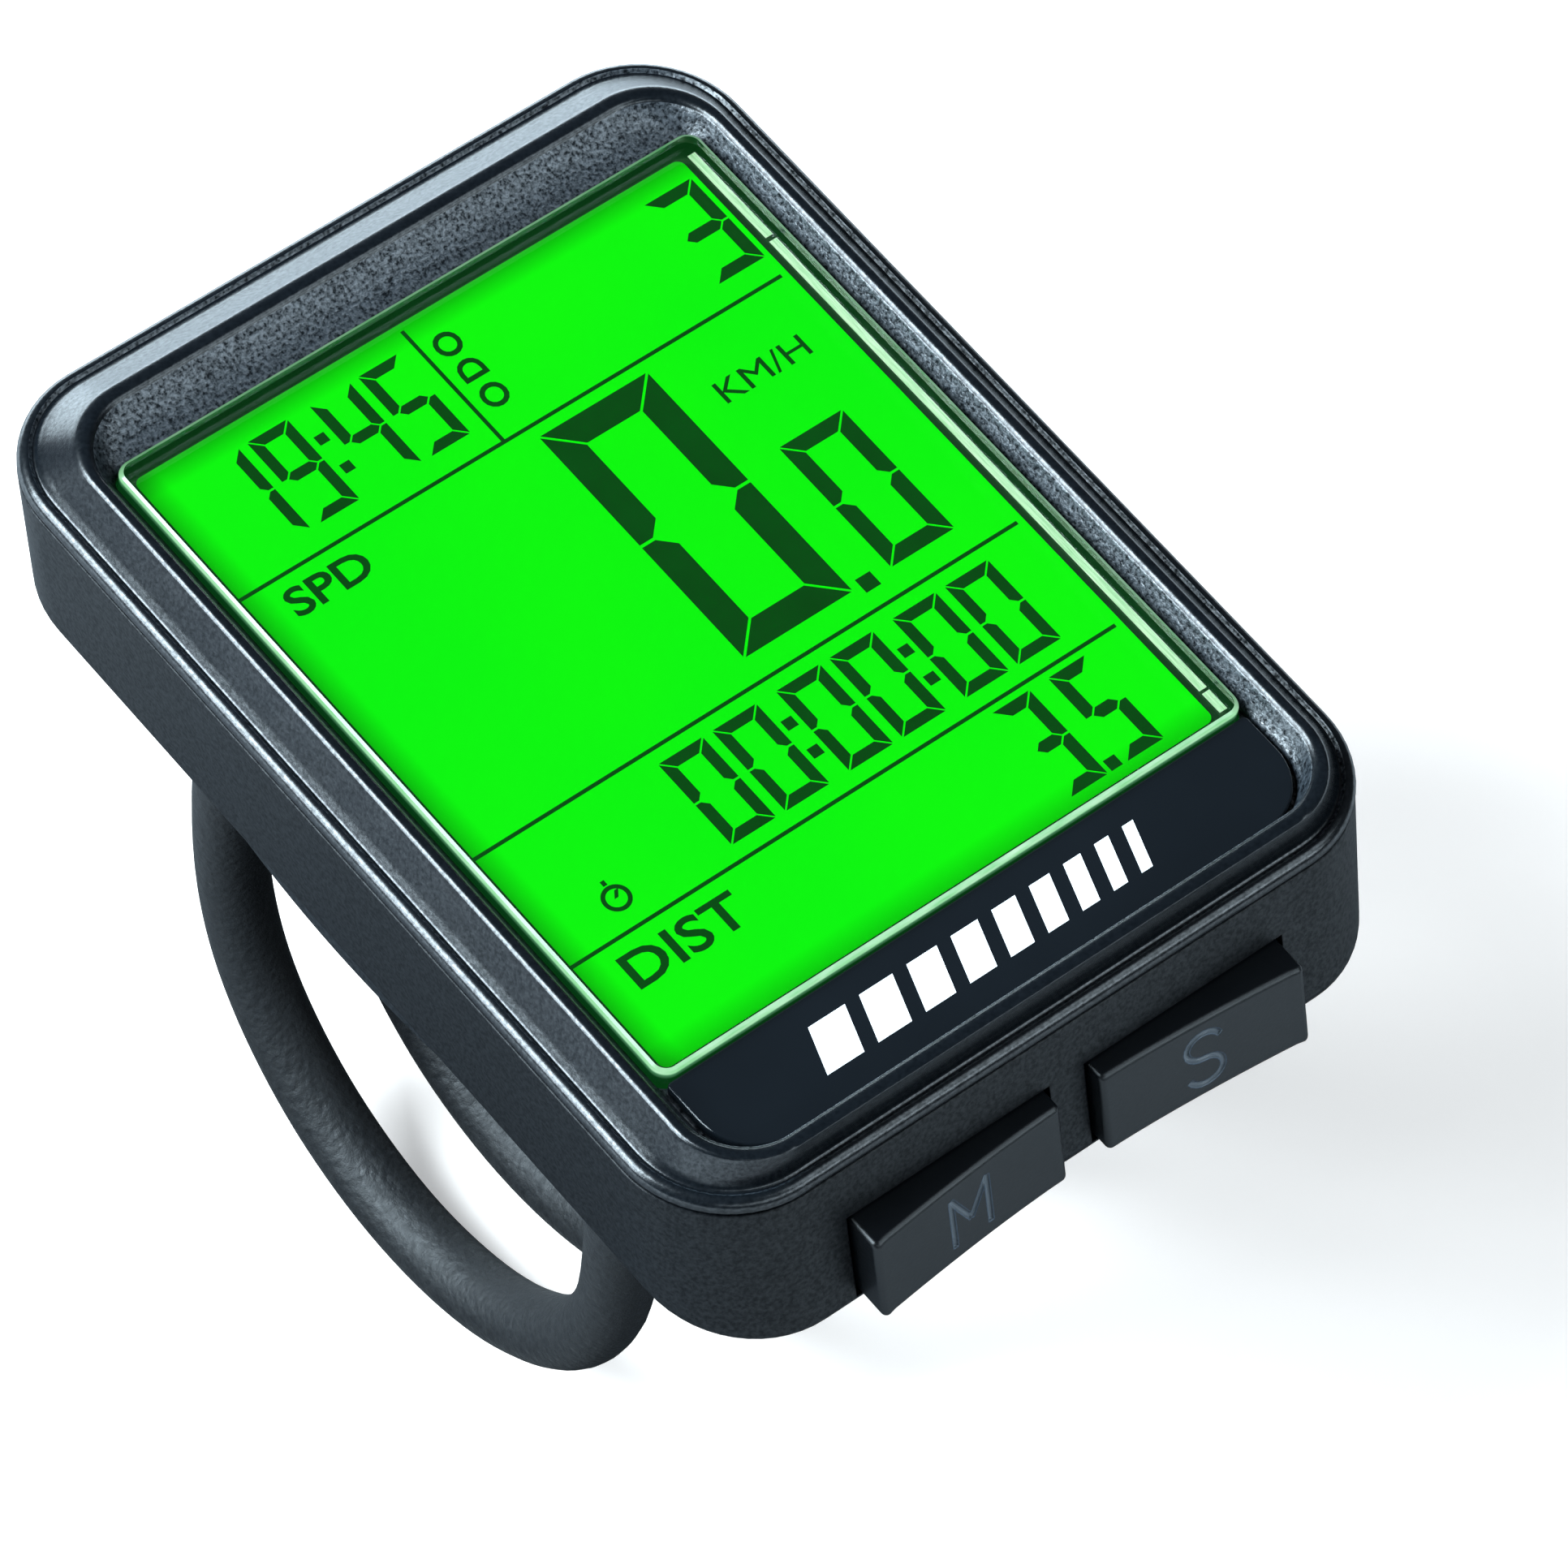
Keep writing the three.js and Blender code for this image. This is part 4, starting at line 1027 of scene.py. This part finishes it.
def smooth_path(points, steps):
    """A closed Catmull-Rom path through the points, with centripetal spacing."""
    count = len(points)
    path = []
    for i in range(count):
        p = [Vector(points[(i + k) % count]) for k in (-1, 0, 1, 2)]
        knots = [0.0]
        for a, b in zip(p, p[1:]):
            knots.append(knots[-1] + max((b - a).length, 1e-4) ** 0.5)
        for step in range(steps):
            path.append(catmull(p, knots, knots[1] + (knots[2] - knots[1]) * step / steps))
    return path


def catmull(p, knots, t):
    """The point at t between the second and the third of four points."""
    def mix(a, b, start, end):
        return a * ((end - t) / (end - start)) + b * ((t - start) / (end - start))
    k0, k1, k2, k3 = knots
    a1, a2, a3 = mix(p[0], p[1], k0, k1), mix(p[1], p[2], k1, k2), mix(p[2], p[3], k2, k3)
    b1, b2 = mix(a1, a2, k0, k2), mix(a2, a3, k1, k3)
    return mix(b1, b2, k1, k2)


# -------- straps

BAR_RADIUS = 14.3
STRAP_CORD = 2.0
STRAP_Y = 16.5
HORN_PEG = 1.8
HORN_X = 11.0
HORN_Z = -2.5


def strap_path(centre_x):
    """Under the handlebar, over one horn and back, and over the other horn."""
    loop = HORN_PEG + 0.15 + STRAP_CORD
    wrap = BAR_RADIUS + STRAP_CORD + 0.1
    points = []
    for side in (1, -1):
        x = centre_x + side * loop
        for angle in arc_steps(-80 * side, 80 * side, 6):
            points.append((x, wrap * math.sin(angle), -BAR_RADIUS - wrap * math.cos(angle)))
        for angle in arc_steps(0, 180, 4):
            x = centre_x + side * loop * math.cos(angle)
            points.append((x, side * STRAP_Y, HORN_Z + loop * math.sin(angle)))
    return smooth_path(points, 8)


def add_straps():
    for name in ("strap_left", "strap_right"):
        low, high = box_mm(name)
        path = strap_path((low.x + high.x) / 2)
        obj = new_object(f"{name}_cord", tube_bmesh(path, STRAP_CORD, True, 24))
        place(obj, "bracket", name, "strap_rubber", strap_rubber)


# -------- keys

def key_front(share):
    """How far a key's face stands out at a share of its length from the middle of the case."""
    return KEY_PROUD + KEY_SWELL * share ** 1.6


def key_outline(side, inset):
    """The key seen from above, with rounded front corners, brought in by an inset."""
    radius = KEY_CORNER - inset * 0.9
    centre = (KEY_INNER + KEY_CORNER, KEY_WALL_Y - key_front(0) + KEY_CORNER)
    points = arc_points(radius, 180, 270, 5, centre)
    steps = 26
    for i in range(1, steps):
        along = (KEY_CORNER + (KEY_WIDTH - 2 * KEY_CORNER) * i / steps) / KEY_WIDTH
        points.append((KEY_INNER + KEY_WIDTH * along, KEY_WALL_Y - key_front(along) + inset))
    centre = (KEY_OUTER - KEY_CORNER, KEY_WALL_Y - key_front(1) + KEY_CORNER)
    points += arc_points(radius, 270, 360, 5, centre)
    back = KEY_WALL_Y + KEY_DEPTH
    points += [(KEY_OUTER - inset, back), (KEY_INNER + inset, back)]
    points = [(side * x, y) for x, y in points]
    return points if side > 0 else list(reversed(points))


def add_key(node, strokes):
    """A key that leans like the case's front, with its letter cut into the face."""
    side = 1 if box_mm(node)[0].x > 0 else -1
    base, top = z_case(KEY_BASE), z_case(KEY_TOP)
    lean = FRONT_LEAN / CASE_HEIGHT
    rings = []
    for z, inset in rounded_levels(base, top, 0.3):
        shift = lean * (z - Z_UNDERSIDE)
        rings.append([(x, y + shift, z) for x, y in key_outline(side, inset)])
    key = new_object(f"{node}_cap", loft_bmesh(rings))
    middle_x, middle_z = (KEY_INNER + KEY_OUTER) / 2, (base + top) / 2

    def on_face(u, v):
        """The point of the face that lies u across and v up from its middle."""
        share = (middle_x + side * u - KEY_INNER) / KEY_WIDTH
        z = middle_z + v
        return (side * middle_x + u, KEY_WALL_Y - key_front(share) + lean * (z - Z_UNDERSIDE), z)

    grooves = [[on_face(u, v) for u, v in stroke] for stroke in strokes]
    boolean(key, [tube_bmesh(groove, GROOVE_RADIUS, False, 10) for groove in grooves])
    place(key, node, node, "key_rubber", key_rubber, key_letter_highlight)
    # The faces inside the letters' grooves take the painted highlight.
    for polygon in key.data.polygons:
        x, y, z = polygon.center / MM
        u, v = x - side * middle_x, z - middle_z
        if max(abs(u), abs(v)) < 2 and 0.02 < y - on_face(u, v)[1] < 0.2:
            polygon.material_index = 1


def letter_m():
    """Strokes of the letter, as points about its middle."""
    corners = [(-1.2, -1.55), (-1.2, 1.55), (0, -0.4), (1.2, 1.55), (1.2, -1.55)]
    strokes = []
    for (x0, y0), (x1, y1) in zip(corners, corners[1:]):
        strokes.append([(x0 + (x1 - x0) * i / 6, y0 + (y1 - y0) * i / 6) for i in range(7)])
    return strokes


def letter_s():
    """One stroke, from two arcs that meet in the middle."""
    radius = 0.82
    stretch = 1.3
    upper = [(stretch * math.cos(a), 1 + math.sin(a)) for a in arc_steps(20, 270, 14)]
    lower = [(stretch * math.cos(a), math.sin(a) - 1) for a in arc_steps(90, -160, 14)]
    return [[(radius * x, radius * y) for x, y in upper + lower[1:]]]


# -------- bracket

PAD_HALF_Y = 12.0
PAD_FLAT = 3.8
PAD_THICKNESS = 1.2
PAD_SLOPE = math.tan(math.radians(30))
PLATE_TOP = 3.7
LEVER_PIVOT = (-7.2, 2.7)


def curve_points(start, bend, end, steps=10):
    """Points after start, up to end, of a curve that leaves start towards bend."""
    points = []
    for i in range(1, steps + 1):
        t = i / steps
        weights = ((1 - t) ** 2, 2 * t * (1 - t), t ** 2)
        points.append(tuple(sum(w * v for w, v in zip(weights, axis)) for axis in zip(start, bend, end)))
    return points


def plate_outline():
    """The bracket's plate seen from above, with its long sides bowed outwards."""
    half_x, half_y, radius = 20.4, 14.0, 3.0
    low = (half_x - radius, -half_y)
    side_low = (half_x + 0.3, -half_y + radius)
    side_high = (side_low[0], -side_low[1])
    high = (low[0], -low[1])
    right = [low]
    right += curve_points(low, (half_x, -half_y), side_low)
    right += curve_points(side_low, (half_x + 1.6, 0), side_high, 24)
    right += curve_points(side_high, (half_x, half_y), high)
    return right + [(-x, -y) for x, y in right]


def pad_line(thickness):
    """The pad's surface at a thickness, from -Y to +Y: two slopes and a flat middle."""
    flat = PAD_FLAT + 0.3 * thickness
    low = thickness - PAD_SLOPE * (PAD_HALF_Y - flat)
    return [(-PAD_HALF_Y, low), (-flat, thickness), (flat, thickness), (PAD_HALF_Y, low)]


def saddle_outline():
    """Side view of the saddle: legs round the pad, open towards the handlebar."""
    half_y, foot, gap = 13.6, -4.9, 0.06
    lip = PAD_HALF_Y + 0.15
    line = [(y, z + gap) for y, z in pad_line(PAD_THICKNESS)]
    line[0] = (-lip, line[0][1])
    line[-1] = (lip, line[-1][1])
    joint = PLATE_TOP - 1
    feet = [(-half_y, foot), (-lip, foot)]
    return [*feet, *line, (lip, foot), (half_y, foot), (half_y, joint), (-half_y, joint)]


def horn_bmesh(x, side):
    """A peg for the strap with a flared root and a rounded disc at its tip."""
    profile = [(13.0, 2.5), (13.6, 2.45), (13.8, 2.05), (14.2, HORN_PEG), (18.5, HORN_PEG), (18.7, 2.0)]
    profile += [(18.8, 2.3)]
    profile += [(z, 3.3 - inset) for z, inset in rounded_levels(18.8, 19.9, 0.4)]
    if side < 0:
        profile = [(-position, radius) for position, radius in reversed(profile)]
    return round_bmesh(profile, (x, HORN_Z), "Y", 56)


def rail_outline(x):
    """End view of a T-shaped rail that the head unit slides along."""
    neck, wide, base, under, top = 0.65, 1.5, PLATE_TOP - 0.4, z_case(1.1), z_case(1.7)
    half = [(neck, base), (neck, under), (wide, under), (wide, top)]
    return [(x + px, z) for px, z in half] + [(x - px, z) for px, z in reversed(half)]


def add_bracket():
    plate = new_object("bracket_plate", slab_bmesh(plate_outline(), 1.7, PLATE_TOP, 0.45))
    saddle = saddle_outline()
    parts = [slab_bmesh(saddle, -17.5, 17.5, 0.4, "X")]
    for x in (-RAIL_X, RAIL_X):
        parts.append(slab_bmesh(rail_outline(x), -10.6, 11.0, 0.2, "Y"))
    for x in (-HORN_X, HORN_X):
        parts += [horn_bmesh(x, side) for side in (-1, 1)]
    boolean(plate, parts, "UNION")
    slot = outline(3.2, -25, LEVER_PIVOT[0] + 1.3, 0.6)
    cuts = [
        slab_bmesh(slot, 1.2, 5, 0.01),
        cylinder_bmesh(0.55, -4.4, 4.4, LEVER_PIVOT, "X", 32),
    ]
    boolean(plate, cuts)
    place(plate, "bracket", "bracket", "case_plastic", bracket_plastic)


def add_release_lever():
    """Tongue with a grooved finger tip, a low click bump and a barrel round its pin."""
    base, top, end, tip = 2.1, 3.3, -20.5, 1.4
    pivot_y = LEVER_PIVOT[0]
    side = [(end, top - 0.3), (end, base - 1.3), (end + 0.3, base - 1.6), (end + tip, base - 1.6)]
    side += [(end + tip, base - 0.5), (end + tip + 0.5, base), (pivot_y, base), (pivot_y, top)]
    side += [(end + 0.3, top)]
    lever = new_object("lever_tongue", slab_bmesh(side, -2.8, 2.8, 0.25, "X"))
    barrel = [(x, 0.95 - inset) for x, inset in rounded_levels(-2.8, 2.8, 0.15)]
    bump = [(x, 0.8 - inset) for x, inset in rounded_levels(-1.8, 1.8, 0.4)]
    joined = [round_bmesh(barrel, LEVER_PIVOT, "X", 40), round_bmesh(bump, (-12, top - 0.3), "X", 40)]
    boolean(lever, joined, "UNION")
    cuts = [cylinder_bmesh(0.56, -5, 5, LEVER_PIVOT, "X", 32)]
    for z in (1.05, 1.7, 2.35):
        cuts.append(cylinder_bmesh(0.2, -2.2, 2.2, (end, z), "X", 16))
    boolean(lever, cuts)
    place(lever, "lever", "release_lever", "case_plastic", bracket_plastic)


def add_rubber_pad():
    """V-shaped liner with grip grooves along the two slopes that hold the handlebar."""
    lower = []
    for y in (-10.6, -8.6, -6.6, 6.6, 8.6, 10.6):
        for offset, rise in ((-0.35, 0), (-0.2, 0.35), (0.2, 0.35), (0.35, 0)):
            height = -PAD_SLOPE * (abs(y + offset) - PAD_FLAT)
            lower.append((y + offset, height + rise))
    start, *_, end = pad_line(0)
    flat = [(-PAD_FLAT, 0), (PAD_FLAT, 0)]
    upper = list(reversed(pad_line(PAD_THICKNESS)))
    side = [start, *lower[:12], *flat, *lower[12:], end, *upper]
    pad = new_object("pad_liner", slab_bmesh(side, -16, 16, 0.15, "X"))
    place(pad, "bracket", "rubber_pad", "pad_rubber", pad_rubber)


# -------- battery cover and screws

def add_battery_cover():
    """Round cover with a ring groove, a coin slot and three bayonet lugs."""
    base, top, radius = z_case(0.1), z_case(1.65), 11.3
    centre = (0, WELL_Y)
    groove = [(base + 0.25, 8.6), (base + 0.25, 9.2), (base, 9.45)]
    rim = [(z, radius - inset) for z, inset in rounded_levels(base, top, 0.3)]
    cover = new_object("cover_disc", round_bmesh(groove + rim, centre, segments=128))
    lug_reach, lug_root, half_angle = 12.4, 10.0, 12
    lugs = []
    for i in range(3):
        middle = 90 + 120 * i
        outer = arc_points(lug_reach, middle - half_angle, middle + half_angle, 10, centre)
        inner = arc_points(lug_root, middle + half_angle, middle - half_angle, 10, centre)
        lugs.append(slab_bmesh(outer + inner, z_case(0.95), top, 0.15))
    boolean(cover, lugs, "UNION")
    slot_reach, slot_half = 5.6, 0.9
    slot = arc_points(slot_half, -90, 90, 12, (slot_reach, WELL_Y))
    slot += arc_points(slot_half, 90, 270, 12, (-slot_reach, WELL_Y))
    boolean(cover, [slab_bmesh(slot, base - 1, z_case(0.8), 0.15)])
    place(cover, "battery_cover", "battery_cover", "case_plastic", case_plastic)


def add_case_screw(node):
    """Pan-head screw with a cross recess and a thread of plain ridges."""
    low, high = box_mm(node)
    centre = ((low.x + high.x) / 2, (low.y + high.y) / 2)
    head_top = low.z + 1.1
    head, core, crest, pitch = 1.8, 0.72, 0.9, 0.45
    dome = [(low.z + 0.35 * rise, head - 0.6 * inset) for rise, inset in quarter_round(1, 6)]
    profile = [*dome, (head_top - 0.08, head), (head_top, head - 0.08), (head_top, core)]
    for i in range(int((high.z - head_top - 0.3) / pitch)):
        start = head_top + 0.1 + pitch * i
        profile += [(start, core), (start + pitch * 0.4, crest), (start + pitch * 0.8, core)]
    profile += [(high.z - 0.25, 0.7), (high.z, 0.4)]
    screw = new_object(f"{node}_body", round_bmesh(profile, centre, segments=40))
    cross = []
    for half_x, half_y in ((1.0, 0.25), (0.25, 1.0)):
        arm = Vector((half_x, half_y, 0))
        middle = Vector((*centre, low.z))
        cross.append(box_bmesh(middle - arm - Vector((0, 0, 1)), middle + arm + Vector((0, 0, 0.6))))
    boolean(screw, cross)
    place(screw, "head", node, "bright_steel", bright_steel)


# -------- carried-over nodes

def finish_nodes():
    """Materials of the CAD pieces that keep their own shape."""
    board = moulded("board_laminate", srgb(28, 92, 52), 0.4, 2.0, 0.004)
    chip = moulded("chip_epoxy", srgb(30, 31, 33), 0.55, 6.0, 0.008)
    ferrite = moulded("ferrite", srgb(58, 57, 57), 0.6, 5.0, 0.01)
    sleeve = moulded("capacitor_sleeve", srgb(40, 46, 90), 0.35, 1.0, 0.003)
    nylon = moulded("switch_plunger", srgb(215, 212, 202), 0.45, 3.0, 0.006)
    film = moulded("white_film", srgb(240, 240, 236), 0.4, 2.0, 0.002)
    lamp = moulded("led_body", srgb(242, 240, 208), 0.3, 3.0, 0.003)
    guide = moulded("light_guide_acrylic", srgb(222, 244, 225), 0.12, 1.0, 0.002)
    zebra = rubbery("zebra_rubber", srgb(140, 143, 148), 0.7, 4.0, 0.01)
    copper = metal("copper_wire", srgb(190, 104, 56), 0.3, (8, 1, 1), 6.0)
    looks = {
        case_plastic: ["display_frame"],
        board: ["main_pcb"],
        chip: ["controller_chip", "switch_m", "switch_s"],
        ferrite: ["ferrite_rod"],
        sleeve: ["capacitor"],
        nylon: ["plunger_m", "plunger_s"],
        film: ["reflector_sheet"],
        lamp: ["backlight_led_1", "backlight_led_2", "backlight_led_3"],
        guide: ["light_guide"],
        zebra: ["zebra_strip"],
        copper: ["receiver_coil"],
        seal_rubber: ["case_seal", "cover_seal"],
        bright_steel: ["crystal", "coin_cell", "contact_negative", "contact_positive", "lever_pin"],
    }
    for material, nodes in looks.items():
        for node in nodes:
            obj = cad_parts[node]
            obj.data.materials.clear()
            obj.data.materials.append(material)


# -------- studio

CAMERA_PLACE = Vector((-192.06, -200.46, 409.8)) * MM
CAMERA_TARGET = Vector((-2.0, -10.7, 13.2)) * MM
CAMERA_ROLL = math.radians(7.6)
CAMERA_LENS = 221.1


def add_camera():
    camera = bpy.data.cameras.new("camera")
    camera.lens = CAMERA_LENS
    camera.sensor_width = 36
    camera.clip_start = 0.01
    camera.clip_end = 20
    obj = add_object("camera", camera)
    forward = (CAMERA_TARGET - CAMERA_PLACE).normalized()
    right = forward.cross(Vector((0, 0, 1))).normalized()
    up = right.cross(forward)
    rolled_right = right * math.cos(CAMERA_ROLL) + up * math.sin(CAMERA_ROLL)
    rolled_up = up * math.cos(CAMERA_ROLL) - right * math.sin(CAMERA_ROLL)
    turn = Matrix((rolled_right, rolled_up, -forward)).transposed().to_4x4()
    obj.matrix_world = Matrix.Translation(CAMERA_PLACE) @ turn
    bpy.context.scene.camera = obj


COOL = (0.74, 0.9, 1.0)


def add_softbox(name, place_mm, width, height, power, target_mm=(0, 0, 8)):
    light = bpy.data.lights.new(name, "AREA")
    light.shape = "RECTANGLE"
    light.size = width * MM
    light.size_y = height * MM
    light.energy = power
    light.color = COOL
    obj = add_object(name, light)
    obj.visible_camera = False
    start = Vector(place_mm) * MM
    aim = Vector(target_mm) * MM - start
    obj.matrix_world = Matrix.Translation(start) @ aim.to_track_quat("-Z", "Y").to_matrix().to_4x4()


def add_studio():
    world = bpy.data.worlds.new("studio")
    bpy.context.scene.world = world
    world.use_nodes = True
    background = world.node_tree.nodes["Background"]
    background.inputs["Color"].default_value = (0.92, 0.95, 1.0, 1.0)
    background.inputs["Strength"].default_value = 0.06
    floor_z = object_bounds()[0][2] / MM - 0.5
    bm = bmesh.new()
    bmesh.ops.create_grid(bm, x_segments=2, y_segments=2, size=1500)
    bmesh.ops.translate(bm, vec=(0, 0, floor_z), verts=bm.verts)
    floor = new_object("floor", bm)
    floor.data.materials.append(pale_floor())
    add_softbox("key_light", (-310, 198, 345), 320, 200, 8.0)
    add_softbox("low_card", (-425, 200, 185), 320, 110, 3.0)
    add_softbox("back_card", (95, 215, 0), 360, 70, 0.55, (0, 20, 12))
    add_softbox("front_card", (125, -260, 135), 120, 80, 0.25)
    add_softbox("corner_card", (-5, -285, 140), 140, 80, 0.15)
    add_softbox("corner_fade", (-130, -255, 140), 120, 80, 0.07)
    add_softbox("top_light", (240, -300, 440), 260, 260, 0.95)
    bpy.context.scene.view_settings.view_transform = "Standard"


# -------- build

add_bezel()
add_rear_shell()
add_lens()
add_fascia()
add_display()
add_key("key_m", letter_m())
add_key("key_s", letter_s())
add_straps()
add_bracket()
add_release_lever()
add_rubber_pad()
add_battery_cover()
for number in range(1, 5):
    add_case_screw(f"case_screw_{number}")
finish_nodes()
add_studio()
add_camera()
